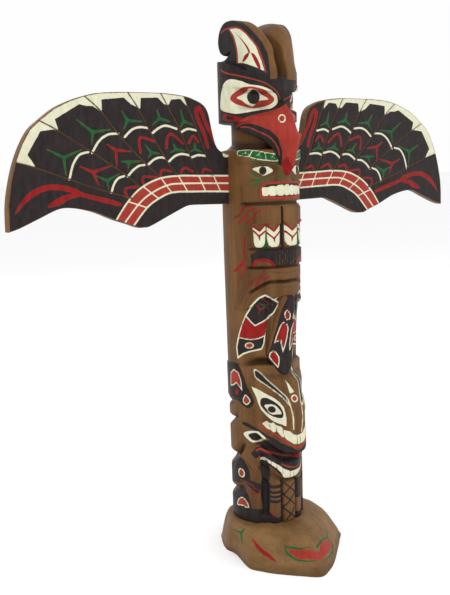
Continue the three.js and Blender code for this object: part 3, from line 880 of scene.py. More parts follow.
# %% Paint the whale's teeth and the small creature
log_paint.stroke("red", [(49, 144), (36, 136), (24, 130), (16, 124), (10, 118), (2, 113),
    (-6, 113)], 2.6)
UPPER_TEETH = [(-6, 129), (-1, 129), (6, 131), (10, 136), (16, 138), (20, 143), (24, 144),
    (28, 148), (32, 146), (37, 149), (44, 145), (36, 138), (32, 137), (28, 134), (24, 136),
    (20, 130), (16, 127), (13, 124), (7, 118.5), (2, 117), (-6, 115)]
log_paint.shape("cream", UPPER_TEETH, smooth=False)
log_paint.strokes("black", 0.8, 1, [
    [(2, 131), (2, 116)], [(18, 142), (16, 126)], [(26, 147), (24, 134)], [(34, 149), (32, 137)]])
log_paint.shape("black", [(78, 145), (67, 144), (58, 140), (47, 135), (37, 129), (31, 127),
    (22, 122), (24, 120), (34, 124), (44, 127), (56, 134), (68, 138), (78, 141)], smooth=False)
log_paint.shape("black", [(64, 100), (60, 104), (54, 110), (48, 112), (40, 117), (33, 124),
    (24, 122), (10, 115), (2, 108), (-6, 107), (-6, 60), (4, 61), (13, 65), (20, 72), (28, 80),
    (38, 88), (48, 93), (56, 94)], smooth=False)
log_paint.shape("cream", [(76, 128), (68, 132), (53, 133.5), (45, 129.5), (39, 123), (48, 117),
    (59, 116.5), (65, 118.5), (72, 122.5)])
log_paint.shape("black", [(67, 126), (63, 129.5), (54, 131), (47, 127), (46, 121.5), (54, 118.5),
    (61, 120.5)])
centre_paint.stroke("red", [(-54, 105.5), (-48, 108.5), (-42, 106), (-32, 102), (-21, 98.5),
    (-8, 95), (4, 92.5), (16, 91), (30, 96), (42, 104), (52, 107)], 2.6)
centre_paint.stroke("red", [(-16, 86), (-8, 82), (-1, 79.5), (8, 78), (18, 80)], 2.0, 0.7)
log_paint.stroke("red", [(54, 93), (49, 97)], 1.8)
LEFT_TEETH = [(-49, 95.5), (-40, 94.5), (-34, 92), (-27, 88.5), (-20, 84.5), (-14, 80), (-9, 77),
    (-2, 74), (7, 74), (7, 61.5), (-1, 62), (-10, 64), (-15, 68), (-17, 74), (-22, 79),
    (-28, 83.5), (-34, 87.5), (-40, 90), (-48, 92)]
RIGHT_TEETH = [(-1, 74), (10, 74), (20, 74.5), (28, 78), (36, 85), (44, 91.5), (49, 96),
    (48, 92.5), (44, 86), (36, 77), (28, 68), (20, 62.5), (10, 61.5), (-1, 62)]
for teeth in (LEFT_TEETH, RIGHT_TEETH):
    centre_paint.shape("cream", teeth, smooth=False)
log_paint.strokes("black", 0.8, 1, [
    [(40, 97), (39, 90)], [(32, 93), (31, 85)], [(24, 89), (23, 79)], [(15, 82), (15, 68)],
    [(3, 75), (4, 61)]])

# %% [markdown]
# ## Lobes, legs and belly
# The lobes at the sides are black with a ringed dot and a cream-edged wedge. Deep hollows beside
# the legs are filled with black as painted shade, which makes them look deeper. The legs are
# banded and the belly is crossed with lines.

# %% Paint the lobes at the creature's sides, its legs and its belly
log_paint.shape("black", [(118, 80), (104, 81), (90, 90), (80, 90), (73, 84), (68, 77), (66, 68),
    (67, 60), (74, 57), (85, 54), (98, 52), (118, 51)])
log_paint.dot("cream", (83.5, 69), 7.2, 6.8)
log_paint.dot("red", (83.5, 69), 5.0, 4.6)
log_paint.shape("black", [(92, 62), (76, 62), (60, 60), (48, 56), (36, 52), (34, 46), (42, 42),
    (56, 44), (66, 50), (80, 54), (92, 55)])
log_paint.strokes("crimson", 2.6, 0.6, [[(86, 58), (76, 57), (64, 55), (56, 49), (44, 47)],
    [(69, 47), (61, 43), (56, 42), (50, 45)]])
log_paint.shape("black", [(118, 38), (100, 37), (87, 43), (77, 41), (70, 36), (67, 28), (66, 21),
    (70, 16), (84, 13), (98, 10), (118, 8)])
log_paint.outlined("cream", "red", [(97, 19), (93, 28), (85, 33), (77, 32), (71, 26), (70, 18.5),
    (82, 20.5)], 1.8)
# painted shade: black fills the deep hollows beside the legs
log_paint.shape("black", [(49, 91), (40, 88), (34, 84), (34, 62), (44, 60), (49, 74)])
log_paint.shape("black", [(33, 58), (48, 62), (50, 40), (46, 12), (36, 12), (34, 30)],
    smooth=False)
log_paint.shape("bare", [(32, 78), (20, 70), (17, 66), (16, 58), (27, 57.5), (34, 61)],
    smooth=False)
for level, thick in ((53.6, 4.8), (45.2, 3.6), (38.8, 3.4), (31.8, 4.4)):
    log_paint.stroke("black", [(35, level), (25, level - 1), (14, level)], thick)
log_paint.shape("black", [(118, 9), (96, 14), (71, 20), (51, 20), (36, 15), (28, 10), (22, 7),
    (16, 10), (15, -3), (118, -3)], smooth=False)
log_paint.stroke("crimson", [(34, 15), (20, 8)], 2.0, 0.5)
centre_paint.strokes("black", 2.4, 1, [[(-12, 58), (12, 39)], [(14, 57), (-12, 40)],
    [(-12, 40), (12, 20)], [(12, 40), (-3, 27), (-15, 21)], [(-13, 21), (10, 2)],
    [(12, 20), (4, 11), (-8, 2)]], smooth=False)
for edge in (-14, 14):
    centre_paint.stroke("black", [(edge, 0), (edge, 59)], 2.2)
for level in (57, 49, 41, 34):
    centre_paint.stroke("black", [(16, level), (28, level - 1), (42, level)], 4.2)
log_paint.store(log_mesh)
print("the log is painted")

# %% [markdown]
# ## Forms pegged to the log
# The beak, the fin over the whale's brow and the two horns stand out of the log. A carver leaves
# the wood standing for them. Here each is its own closed skin, sunk a little into the log. They
# are drawn as seen from a slant, half from the front and half from the side, because their paint
# wraps round a corner: s runs across that view and h is the height, both in millimetres.

# %% Slanting coordinates
def slanting(points):
    s = -np.abs(points[:, 0]) * math.cos(SLANT) - points[:, 1] * math.sin(SLANT)
    return s, points[:, 2] - FOOT


# %% [markdown]
# ## The beak
# The hooked beak is built from level slices. Each is a rounded wedge with its own half width, and
# its sides and tip reach a share of the way out. The slices are few, and a smooth curve through
# their numbers gives the ones between.

# %% Carve the beak
BEAK_REACH = 80.0
BEAK_FULLNESS = 1.7
BEAK_COLUMNS = 61
BEAK_INNER = 12
BEAK_SLICES = [(484, 3, 0.70, 0.76, 0.66), (490, 6, 0.69, 0.84, 0.65), (498, 9, 0.67, 0.9, 0.63),
    (508, 13, 0.66, 0.945, 0.62), (516, 17, 0.64, 0.97, 0.58), (522, 21, 0.62, 0.985, 0.55),
    (528, 27, 0.59, 0.99, 0.5), (533, 33, 0.55, 0.99, 0.42), (538, 41, 0.42, 0.98, 0.3),
    (543, 46, 0.27, 0.97, 0.16), (548, 49, 0.14, 0.95, 0.06), (555, 46, 0.22, 0.91, 0.1),
    (561, 43, 0.30, 0.88, 0.16), (567, 22, 0.5, 0.83, 0.35), (574, 8, 0.56, 0.76, 0.45),
    (583, 2.5, 0.58, 0.64, 0.5)]
beak_rings = []
for h, half, back, forward, inner in curved(BEAK_SLICES):
    t = np.linspace(-1, 1, BEAK_COLUMNS)
    fullness = BEAK_FULLNESS - 0.55 * band(541, 574, 5, h) * (t > 0)
    outer_y = -BEAK_REACH * (forward - (forward - back) * np.abs(t) ** fullness)
    edge = np.linspace(1, -1, BEAK_INNER + 2)[1:-1]
    inner_y = np.full(BEAK_INNER, -BEAK_REACH * min(inner, back - 0.03))
    xs = np.concatenate([half * t, half * edge])
    ys = np.concatenate([outer_y, inner_y])
    beak_rings.append(np.stack([xs, ys, np.full(xs.shape, h + FOOT)], -1))
beak_mesh, beak_points = ring_mesh("beak", np.array(beak_rings), LOG_WOOD, "pole")

# %% [markdown]
# ## The beak's colours
# The beak is red with a black line over its lip and a dark red tip. A cream ring marks the
# nostril. The top edge is where it meets the brow, so the same line is used for both.

# %% Paint the beak
s, h = slanting(beak_points)
beak_paint = Paint(s, h)
beak_paint.everywhere("red", np.full(s.shape, -FAR))
beak_paint.shape("black", BEAK_TOP + [(36, 600), (-70, 600), (-70, 549)], smooth=False)
LIP_TOP = [(-60, 540), (-32.6, 548.2), (-25.2, 552.2), (-15, 553.1), (-3.8, 549.6), (11.7, 542.5),
    (21.6, 532.2), (26.8, 516.6), (27, 500), (27, 480), (-60, 480)]
beak_paint.shape("black", LIP_TOP, smooth=False)
beak_paint.stroke("red", [(-27.5, 548.1), (-17.4, 548), (-4.1, 541.8), (11.5, 533), (20.5, 521),
    (23.4, 510)], 1.6)
beak_paint.dot("cream", (27.2, 557.3), 5.2, 5.8)
beak_paint.dot("red", (27.2, 557.3), 3.2, 3.8)
beak_paint.shape("crimson", [(34, 508), (37, 500), (42, 492), (46, 480), (24, 480), (27, 500)])
beak_paint.store(beak_mesh)
store_cut_shade(beak_mesh)

# %% [markdown]
# ## The standing fin
# The fin stands over the whale's brow, narrow at the top and widest above its rounded end. The
# carver left a block and rounded its front, so it is built from level slices. Its left face is
# painted past the middle, where the edge lies in the real carving.

# %% Carve and paint the centre fin
FIN_BACK = -25.0
FIN_COLUMNS = 41
FIN_INNER = 8
FIN_SLICES = [(208, 4, 46.5), (211, 8, 47), (216, 13, 47.5), (224, 17, 47), (236, 22.5, 43),
    (243, 22, 43), (262, 19, 48), (285, 16, 54), (305, 12.5, 59), (318, 10.5, 61), (321, 9.5, 60)]
fin_rings = []
for h, half, forward in curved(FIN_SLICES):
    t = np.linspace(-1, 1, FIN_COLUMNS)
    edge = np.linspace(1, -1, FIN_INNER + 2)[1:-1]
    xs = np.concatenate([half * t, half * edge])
    ys = np.concatenate([-(forward - 7 * t ** 4), np.full(FIN_INNER, FIN_BACK)])
    fin_rings.append(np.stack([xs, ys, np.full(xs.shape, h + FOOT)], -1))
fin_mesh, fin_points = ring_mesh("centre_fin", np.array(fin_rings), LOG_WOOD, "pole")
PAST_MIDDLE = 3.5
RIGHT_SHIFT = 9.0
s, h = slanting(fin_points)
left_s = fin_points[:, 0] * math.cos(SLANT) - fin_points[:, 1] * math.sin(SLANT)
fin_paint = Paint(np.where(fin_points[:, 0] < PAST_MIDDLE, left_s, s + RIGHT_SHIFT), h)
fin_paint.everywhere("black", np.full(len(fin_points), -FAR))
fin_paint.outlined("cream", "crimson", [(31.1, 302.2), (35, 295.5), (34.4, 289), (31.5, 287),
    (27.8, 290), (25.9, 295.8), (27.3, 300.7)], 1.6)
fin_paint.outlined("cream", "crimson", [(24.8, 286), (30.5, 281.7), (32.4, 275.1), (30.8, 263.6),
    (28, 251.4), (23.9, 240), (22.8, 245.7), (20.6, 254.9), (21.1, 259.8), (11.5, 255.1),
    (14.3, 265.7), (17.9, 275.5), (21.4, 283.6)], 1.6, smooth=False)
fin_paint.outlined("cream", "crimson", [(10.4, 245.7), (14.4, 242.7), (18.4, 236), (19.1, 231.1),
    (16.7, 220.4), (10.7, 227.2), (3.9, 236.4), (5.3, 242.1)], 1.6, smooth=False)
fin_paint.shape("bare", [(-12, 330), (31, 330), (30, 318), (25, 308), (20.6, 297.4), (15.9, 279.6),
    (11.5, 266), (8.4, 256), (3, 240), (-12, 236)], smooth=False)
fin_paint.store(fin_mesh)
store_cut_shade(fin_mesh)

# %% [markdown]
# ## The horns
# Two ear-like horns curl back over the bird's head, with a straight saw cut between them. Each
# is one outline cut through the round log, so it draws in towards its outer side, where the
# black and cream feather is painted. The edges are eased with a knife.

# %% Build both horns
from mathutils.geometry import delaunay_2d_cdt

HORN_NEAR = 8.0
HORN_FAR = 42.0
HORN_EASE = 2.0
HORN_GRAIN = 1.3
CORNER_DROP = 14.0
CORNER_REACH = 16.0
HORN_OUTLINE = [(47, 606), (46, 640), (41, 662), (31, 676), (14, 686), (-8, 689.5), (-28, 687.5),
    (-41, 678), (-46, 664), (-41, 651), (-27, 645), (-8, 649), (-26, 640), (-40, 637), (-46, 620),
    (-40, 606)]


def evenly(line, spacing):
    """The closed line again, with points at an even spacing."""
    loop = np.concatenate([line, line[:1]])
    reached = np.concatenate([[0], np.cumsum(np.hypot(*np.diff(loop, axis=0).T))])
    at = np.linspace(0, reached[-1], int(reached[-1] / spacing) + 1)[:-1]
    return np.stack([np.interp(at, reached, loop[:, k]) for k in range(2)], -1)


def filled(outline, spacing):
    """Points and triangles that fill an outline, with its own points first."""
    low, high = outline.min(axis=0), outline.max(axis=0)
    gx, gy = np.meshgrid(np.arange(low[0], high[0], spacing), np.arange(low[1], high[1], spacing))
    gx, gy = gx.ravel(), gy.ravel()
    gap, _ = line_distance(gx, gy, outline, closed=True)
    keep = inside(gx, gy, outline) & (gap > 0.6 * spacing)
    points = np.concatenate([outline, np.stack([gx[keep], gy[keep]], -1)])
    count = len(outline)
    edges = [(i, (i + 1) % count) for i in range(count)]
    made = delaunay_2d_cdt([Vector(p) for p in points.tolist()], edges, [], 1, 1e-5)
    corners = np.array([tuple(corner) for corner in made[0]])
    triangles = [tuple(triangle) for triangle in made[2]]
    source = [came_from[0] if came_from else -1 for came_from in made[3]]
    return corners, triangles, source


horn_line = evenly(curved(HORN_OUTLINE, closed=True), HORN_GRAIN)
tangent = np.roll(horn_line, -1, axis=0) - np.roll(horn_line, 1, axis=0)
inward = np.stack([-tangent[:, 1], tangent[:, 0]], -1) / np.hypot(*tangent.T)[:, None]
horn_x = np.concatenate([HORN_NEAR + HORN_EASE * (1 - np.cos(np.linspace(0, math.pi / 2, 4)))[:-1],
                         np.linspace(HORN_NEAR + HORN_EASE, HORN_FAR - HORN_EASE, 24),
                         HORN_FAR - HORN_EASE * (1 - np.sin(np.linspace(0, math.pi / 2, 4)))[1:]])


def horn_forward(line, x):
    """The round log seen from the front: points lie less far out towards its sides."""
    return line[:, 0] * np.sqrt(1 - (x / np.where(line[:, 0] > 0, 51.0, 64.0)) ** 2)


def horn_drop(h, x):
    """How far the upper corner by the saw cut is rounded down."""
    t = max(1 - (x - HORN_NEAR) / CORNER_REACH, 0)
    return CORNER_DROP * t * t * slope(640, 680, h)


def horn_ring(x):
    """The horn's outline at a distance from the middle of the pole, eased near both faces."""
    from_face = min(x - HORN_NEAR, HORN_FAR - x, HORN_EASE)
    eased = HORN_EASE - math.sqrt(max(HORN_EASE ** 2 - (HORN_EASE - from_face) ** 2, 0))
    line = horn_line + inward * eased
    return horn_forward(line, x), line[:, 1] - horn_drop(line[:, 1], x), line


def build_horn(name, side):
    rows = []
    for x in horn_x:
        forward, h, _ = horn_ring(x)
        rows.append(np.stack([np.full(h.shape, side * x), -forward, h + FOOT], -1))
    rows = np.array(rows)
    count = len(horn_line)
    points = rows.reshape(-1, 3).tolist()
    faces = []
    for level in range(len(horn_x) - 1):
        for i in range(count):
            a, b = level * count + i, level * count + (i + 1) % count
            faces.append((a, b, b + count, a + count))
    for level, x, turned in ((0, HORN_NEAR, True), (len(horn_x) - 1, HORN_FAR, False)):
        _, _, line = horn_ring(x)
        flat, triangles, source = filled(line, HORN_GRAIN)
        index = []
        heights = flat[:, 1] - horn_drop(flat[:, 1], x)
        for k, (u, h) in enumerate(zip(horn_forward(flat, x), heights)):
            if 0 <= source[k] < count:
                index.append(level * count + source[k])
            else:
                index.append(len(points))
                points.append([side * x, -u, h + FOOT])
        for triangle in triangles:
            corner = [index[k] for k in triangle]
            faces.append(tuple(corner[::-1] if turned else corner))
    if side > 0:
        faces = [face[::-1] for face in faces]
    return add_piece(name, np.array(points), faces, LOG_WOOD, "pole")


# %% [markdown]
# ## The horns' colours
# A cream feather with three red strokes lies inside a red line on black. Only the outer faces
# are drawn on. The front of the horns is bare wood and the back is plain black.

# %% Paint the horns
def paint_horn(mesh, points):
    s, h = slanting(points)
    across = np.abs(points[:, 0])
    behind = (points[:, 1] > 12) & (across < HORN_FAR - 3)
    painted = (points[:, 0] < -HORN_NEAR - 4) | (points[:, 0] > HORN_NEAR + 26)
    painted |= behind & (across > HORN_NEAR + 4)
    ground = Paint(s, h, allowed=painted)
    paint = Paint(s, h, allowed=painted & ~behind, over=ground)
    ground.shape("black", [(-70, 700), (-26, 700), (-24.2, 691), (-19.8, 684.6), (-9.7, 674.1),
        (3.6, 657.8), (11.2, 641.6), (13.4, 616.5), (13, 590), (-70, 590)], smooth=False)
    paint.shape("cream", [(-38, 678.4), (-27, 677), (-17, 668), (-4.6, 652), (2, 634), (6, 619),
        (-3.1, 623.8), (-21.3, 631.1), (-28, 632.7), (-28.8, 651.8), (-32.3, 667.9)], smooth=False)
    paint.shape("crimson", [(-31.1, 673), (-17.2, 654.9), (-12.3, 645.7), (-13.5, 643.4),
        (-17.3, 651.5), (-25, 664.3)])
    paint.shape("crimson", [(-14, 644), (-19.3, 640.2), (-22.4, 632.9), (-18.9, 633.9),
        (-14.1, 640)])
    paint.shape("crimson", [(-10.6, 642.8), (-6.1, 640.9), (-0.6, 630.5), (0.9, 621.9),
        (-2, 623.2), (-6.3, 631.8)])
    paint.stroke("red", [(-48.8, 676.3), (-43, 679.4), (-32.6, 679), (-22.4, 674.5),
        (-11.2, 662.4), (-1.3, 648.3), (4.6, 631), (7.6, 617.8)], 1.8)
    paint.stroke("red", [(-38.6, 677.8), (-33.5, 667.9), (-30.2, 655.3), (-28.8, 645),
        (-28.8, 632.5)], 1.6)
    paint.store(mesh)
    store_cut_shade(mesh)


for name, side in (("horn_left", -1), ("horn_right", 1)):
    paint_horn(*build_horn(name, side))

# %% [markdown]
# ## The wing boards
# Each wing is a half-inch board sawn to the outline of a spread wing, grooved along its feathers
# with a V tool and painted on the front. It is built as upright slices from the log to the tip:
# a finely divided front, a plain back and eased edges between them.

# %% The wing's outline and feather grooves
WING_TOP = [(48, 513), (54, 513), (65, 517), (74, 526), (80, 546), (85, 568), (92, 578),
    (104, 584), (122, 589), (157, 592), (205, 592), (244, 590), (265, 586), (284, 580), (304, 571),
    (324, 557), (337, 546), (348, 529), (357, 509), (364, 486), (369, 460), (370, 429)]
WING_LOW = [(48, 447), (54, 447), (95, 448), (119, 448), (134, 443), (158, 433), (172, 427),
    (184, 423), (196, 423), (210, 428), (231, 435), (258, 446), (285, 452), (305, 452), (331, 442),
    (356, 432), (370, 428)]
FEATHER_LINES = [
    [(355, 508), (333, 502), (289, 487), (250, 474), (205, 461)],
    [(324, 556), (300, 544), (261, 521), (213, 491), (193, 476)],
    [(265, 586), (243, 568), (217, 537), (182, 503), (163, 487)],
    [(205, 592), (189, 570), (174, 543), (152, 508), (136, 488)],
    [(157, 592), (146, 574), (130, 546), (116, 514), (104, 488)],
    [(122, 589), (114, 571), (102, 543), (88, 507), (79, 487)]]
WING_COLUMNS = 262
WING_ROWS = 136
WING_BACK_ROWS = 16
WING_EASE = 1.6
GROOVE_WIDTH = 2.2
GROOVE_DEPTH = 1.3
EDGE_TURNS = (0.5, 1.0, 1.5)

top_line = curved(WING_TOP)
low_line = curved(WING_LOW)
before_tip = 1 - np.linspace(0, 1, 25)[1:]
wing_u = np.concatenate([np.linspace(48, 356, WING_COLUMNS - 24), 370 - 14 * before_tip ** 2])
top_at = np.minimum(np.interp(wing_u, np.maximum.accumulate(top_line[:, 0]), top_line[:, 1]), 592)
low_at = np.maximum(np.interp(wing_u, np.maximum.accumulate(low_line[:, 0]), low_line[:, 1]), 423)
top_at = np.maximum(top_at, low_at + 1)
print("a wing is", len(wing_u), "slices of", WING_ROWS + WING_BACK_ROWS + 6, "points")


# %% [markdown]
# ## The board itself
# The feather grooves only lower the front of the board, and its back stays flat. The right wing
# is the left one mirrored, so its slices are turned round to keep the faces looking outwards.

# %% Build a wing board
def wing_slices():
    """The points of one wing: distance out along u, depth into the board, height."""
    share = np.linspace(0, 1, WING_ROWS)
    slices = []
    for u, top, low in zip(wing_u, top_at, low_at):
        inset = min(WING_EASE, (top - low) / 3)
        front_h = low + inset + (top - low - 2 * inset) * share
        front = [(u, 0.0, z) for z in front_h]
        round_top = [(u, WING_EASE * (1 - math.cos(t)), top - inset + inset * math.sin(t))
                     for t in EDGE_TURNS]
        back_h = np.linspace(top - inset, low + inset, WING_BACK_ROWS)
        back = [(u, WING_THICKNESS, z) for z in back_h]
        round_low = [(u, WING_EASE * (1 - math.cos(t)), low + inset - inset * math.sin(t))
                     for t in EDGE_TURNS[::-1]]
        back_top = [(u, WING_THICKNESS - WING_EASE * 0.4, top - inset * 0.2)]
        back_low = [(u, WING_THICKNESS - WING_EASE * 0.4, low + inset * 0.2)]
        slices.append(front + round_top + back_top + back + back_low + round_low)
    return np.array(slices)


wing_shape = wing_slices()
groove = np.zeros(wing_shape.shape[:2])
for line in FEATHER_LINES:
    gap, _ = line_distance(wing_shape[:, :, 0], wing_shape[:, :, 2], curved(line))
    groove = np.maximum(groove, GROOVE_DEPTH * (1 - slope(0, GROOVE_WIDTH, gap)))
on_front = wing_shape[:, :, 1] < WING_EASE * 0.7
wing_shape[:, :, 1] += np.where(on_front, groove, 0)


def build_wing(name, side):
    rings = wing_shape.copy()
    rings[:, :, 0] *= side
    rings[:, :, 1] += WING_FRONT
    rings[:, :, 2] += FOOT
    if side > 0:
        rings = rings[:, ::-1]
    return ring_mesh(name, rings, WING_WOOD, name)


# %% [markdown]
# ## The feathers' marks
# Every feather carries a row of forked marks, arches and cream arcs, and they get smaller towards
# the log. Each list holds one kind of mark: distances out from the log's axis and heights above
# its foot, as the painter would place them.

# %% The marks on a wing
RIM_INNER = [(354, 508), (332, 502), (342, 517), (324, 544), (308, 546), (301, 545), (305, 558),
    (272, 576), (263, 574), (254, 574), (242, 567), (242, 582), (211, 585), (201, 577), (196, 575),
    (188, 572), (187, 585), (162, 586), (153, 578), (146, 577), (142, 584), (128, 585), (118, 576),
    (122, 589)]
RIM_OUTER = [(122, 600), (160, 604), (210, 604), (250, 602), (280, 596), (305, 586), (335, 568),
    (355, 545), (370, 512)]
GREEN_MARKS = [[(296, 513), (317, 523), (272, 522), (294, 492)],
    [(256, 543), (277, 558), (231, 546), (258, 528)],
    [(207, 557), (215, 569), (186, 556), (213, 546)],
    [(160, 560), (164, 571), (144, 556), (171, 552)],
    [(124, 557), (128, 571), (110, 552), (129, 549)],
    [(239, 484), (253, 490), (222, 492), (238, 473)],
    [(207, 506), (218, 507), (190, 507), (209, 498)],
    [(174, 517), (183, 527), (162, 516), (179, 511)],
    [(137, 521), (141, 528), (123, 519), (146, 517)],
    [(108, 521), (107, 529), (96, 517), (115, 518)]]
RED_MARKS = [[(258, 495), (275, 502), (232, 502), (251, 479)],
    [(225, 521), (237, 528), (204, 519), (225, 500)]]
RED_ARCHES = [[(190, 518), (190, 536), (168, 531)],
    [(152, 523), (149, 537), (142, 540), (126, 528)], [(117, 529), (110, 538), (102, 530)],
    [(212, 463), (214, 473), (197, 475)], [(188, 479), (187, 487), (167, 486)],
    [(162, 488), (159, 495), (146, 493)], [(131, 491), (125, 497), (112, 492)],
    [(97, 490), (94, 495), (83, 492)]]
CREAM_ARCS = [[(290, 487), (284, 505), (275, 516), (263, 519)],
    [(258, 518), (248, 532), (235, 540), (220, 541)],
    [(212, 537), (201, 546), (190, 549), (178, 548)],
    [(171, 542), (162, 548), (151, 551), (135, 547)], [(128, 543), (118, 547), (105, 545)],
    [(234, 469), (230, 479), (224, 486), (215, 489)],
    [(210, 488), (202, 496), (193, 501), (185, 502)],
    [(180, 502), (170, 509), (161, 511), (154, 510)],
    [(148, 506), (140, 512), (129, 515), (117, 513)], [(114, 510), (104, 513), (91, 512)]]
INNER_STROKES = [[(104, 571), (101, 558), (93, 542), (87, 523)],
    [(104, 572), (98, 573), (89, 554), (74, 528)]]
LEAF = [(362, 448), (355, 460), (341, 474), (322, 481), (303, 481), (283, 476), (272, 470),
    (244, 463), (222, 456), (223, 452), (244, 457), (272, 465), (288, 471), (307, 475), (324, 474),
    (342, 465), (354, 455)]
LEAF_BRANCH = [(280, 470), (298, 468), (312, 462), (320, 455), (304, 457), (292, 463), (276, 467)]
BAND_UPPER = [(228, 436), (212, 456), (192, 473), (165, 484), (135, 487), (98, 486), (55, 485)]
BAND_MIDDLE = [(216, 432), (196, 453), (179, 465), (154, 475), (129, 477), (55, 475)]
BAND_LOWER = [(204, 427), (184, 448), (166, 459), (145, 466), (110, 466), (55, 464)]
BAND_CROSSES = [[(211, 457), (183, 448)], [(187, 474), (166, 459)], [(160, 483), (147, 467)],
    [(135, 487), (121, 466)], [(103, 486), (93, 466)], [(79, 485), (69, 465)]]
mark_count = len(GREEN_MARKS) + len(RED_MARKS)
print("each wing takes", mark_count, "forked marks and", len(CREAM_ARCS), "arcs")


# %% [markdown]
# ## Painting the wings
# The order is the painter's: black ground, cream rim, marks, the long red leaf, and last the band
# of cream and red along the lower edge. The grooves and the sawn edge are cut through the paint,
# so bare wood shows there. A dab of cream filler closes the joint at the log.

# %% Paint the wings
def paint_wing(mesh, points):
    u = np.abs(points[:, 0])
    h = points[:, 2] - FOOT
    depth = points[:, 1] - WING_FRONT
    paint = Paint(u, h, allowed=depth < 1.4)
    edge_line = np.concatenate([np.array(WING_TOP[1:]), np.array(WING_LOW[1:])[::-1]])
    gap, _ = line_distance(u, h, edge_line, closed=True)
    paint.everywhere("black", np.full(u.shape, -FAR))
    paint.shape("cream", RIM_INNER + RIM_OUTER, smooth=False)
    paint.forks("green", 4.0, 0.3, GREEN_MARKS)
    paint.forks("crimson", 4.0, 0.3, RED_MARKS)
    paint.strokes("crimson", 3.4, 0.8, RED_ARCHES)
    paint.strokes("cream", 2.9, 0.9, CREAM_ARCS)
    paint.strokes("crimson", 5.6, 0.8, INNER_STROKES)
    paint.shape("crimson", LEAF)
    paint.shape("crimson", LEAF_BRANCH)
    band_edge = np.concatenate([curved(BAND_UPPER), curved(BAND_LOWER)[::-1]])
    paint.shape("red", band_edge, smooth=False)
    paint.strokes("cream", 2.4, 1, [BAND_UPPER, BAND_MIDDLE, BAND_LOWER])
    paint.strokes("cream", 1.9, 1, BAND_CROSSES)
    filler = Paint(u, h, allowed=(u < 66) & (h > 500), over=paint)
    paint.strokes("bare", 1.6, 1, FEATHER_LINES)
    paint.everywhere("bare", gap - 0.9)
    filler.dot("cream", (58, 514), 5.5, 4.5)
    paint.store(mesh)
    # painted shade: the feather grooves are darkened by their depth
    store_cut_shade(mesh, np.interp(depth, [0.2, GROOVE_DEPTH], [0, 0.9]) * (depth < 1.4))


for name, side in (("wing_left", -1), ("wing_right", 1)):
    paint_wing(*build_wing(name, side))

# %% [markdown]
# ## The mound
# The pole stands on a mound hewn from a block, with a level top for the log. Its outline reaches
# furthest to the front right. It is given as angles from the front and shares of the longest
# reach, and a smooth curve joins them.

# %% The mound's outline
BASE_THICKNESS = base_high[2] / MM
LANDING = 64.0
BASE_REACH = 143.0
BASE_OUTLINE = [(0, 0.93), (10, 0.845), (33, 0.73), (50, 0.725), (66, 0.76), (90, 0.7),
    (120, 0.62), (150, 0.56), (180, 0.54), (210, 0.52), (233, 0.48), (260, 0.485), (280, 0.485),
    (306, 0.7), (317, 0.755), (326, 0.805), (341, 0.905), (351, 1)]
outline = np.array([
    (r * BASE_REACH * math.sin(math.radians(a)), -r * BASE_REACH * math.cos(math.radians(a)))
    for a, r in BASE_OUTLINE])
rim_line = curved(outline, closed=True)
rim_angle = np.degrees(np.arctan2(rim_line[:, 0], -rim_line[:, 1])) % 360
order = np.argsort(rim_angle)
rim_reach = np.hypot(*rim_line.T)[order]
rim_angle = rim_angle[order]
mound_angle = np.arange(0, 360, 1.25)
reach = np.interp(mound_angle, rim_angle, rim_reach, period=360) * 0.997
print("the mound reaches", round(reach.min()), "to", round(reach.max()), "mm from the log's axis")

# %% [markdown]
# ## Hewing the mound
# Each ring of points lies between the level landing and the outline, and falls more steeply
# towards the edge. At the back left the mound falls away sooner. A few long waves added together,
# with random directions from a fixed seed, leave tool marks less than a millimetre deep.

# %% Build the mound
rng = np.random.default_rng(7)
wave_angle = rng.uniform(0, 2 * math.pi, 18)
wave_length = rng.uniform(9, 30, 18)
wave_start = rng.uniform(0, 2 * math.pi, 18)


def hewn(x, y):
    """An uneven surface between 0 and 1, as an adze leaves it."""
    total = np.zeros(x.shape)
    for turn, length, start in zip(wave_angle, wave_length, wave_start):
        total += np.sin((x * math.cos(turn) + y * math.sin(turn)) * 2 * math.pi / length + start)
    return 0.5 + 0.5 * np.tanh(total / 5)


mound_rings = []
LANDING_SHARES = np.linspace(0, 0.94, 12)
theta = np.radians(mound_angle)
reach_front = (np.cos(theta) + 1) / 2
back_left = band(200, 248, 26, mound_angle)
power = 3.6 - 1.9 * slope(0.2, 0.9, reach_front) - 1.5 * back_left
landing = LANDING - 8 * back_left
for share in np.concatenate([[1.0], 1 - np.linspace(0, 1, 58) ** 1.5]):
    r = landing + (reach - landing) * share
    z = BASE_THICKNESS * (1 - share ** power)
    x, y = r * np.sin(theta), -r * np.cos(theta)
    inset = hewn(x, y) * 0.9 * slope(0.2, 4, z)
    kept = 1 - inset / r
    mound_rings.append(np.stack([x * kept, y * kept, np.maximum(z - inset * 0.6, 0)], -1))
for share in LANDING_SHARES[1:]:
    r = landing * (1 - share)
    x, y = r * np.sin(theta), -r * np.cos(theta)
    mound_rings.append(np.stack([x, y, BASE_THICKNESS - 0.5 * hewn(x, y)], -1))
mound_mesh, mound_points = ring_mesh(
    "mound", np.array(mound_rings), BASE_WOOD, "base")

# %% [markdown]
# ## The mound's marks
# A red fish with green outlines and a red stroke are painted on the front, drawn from above. A
# green forked mark is on the steep side by the pole, so it is drawn as it is seen from the front
# left.

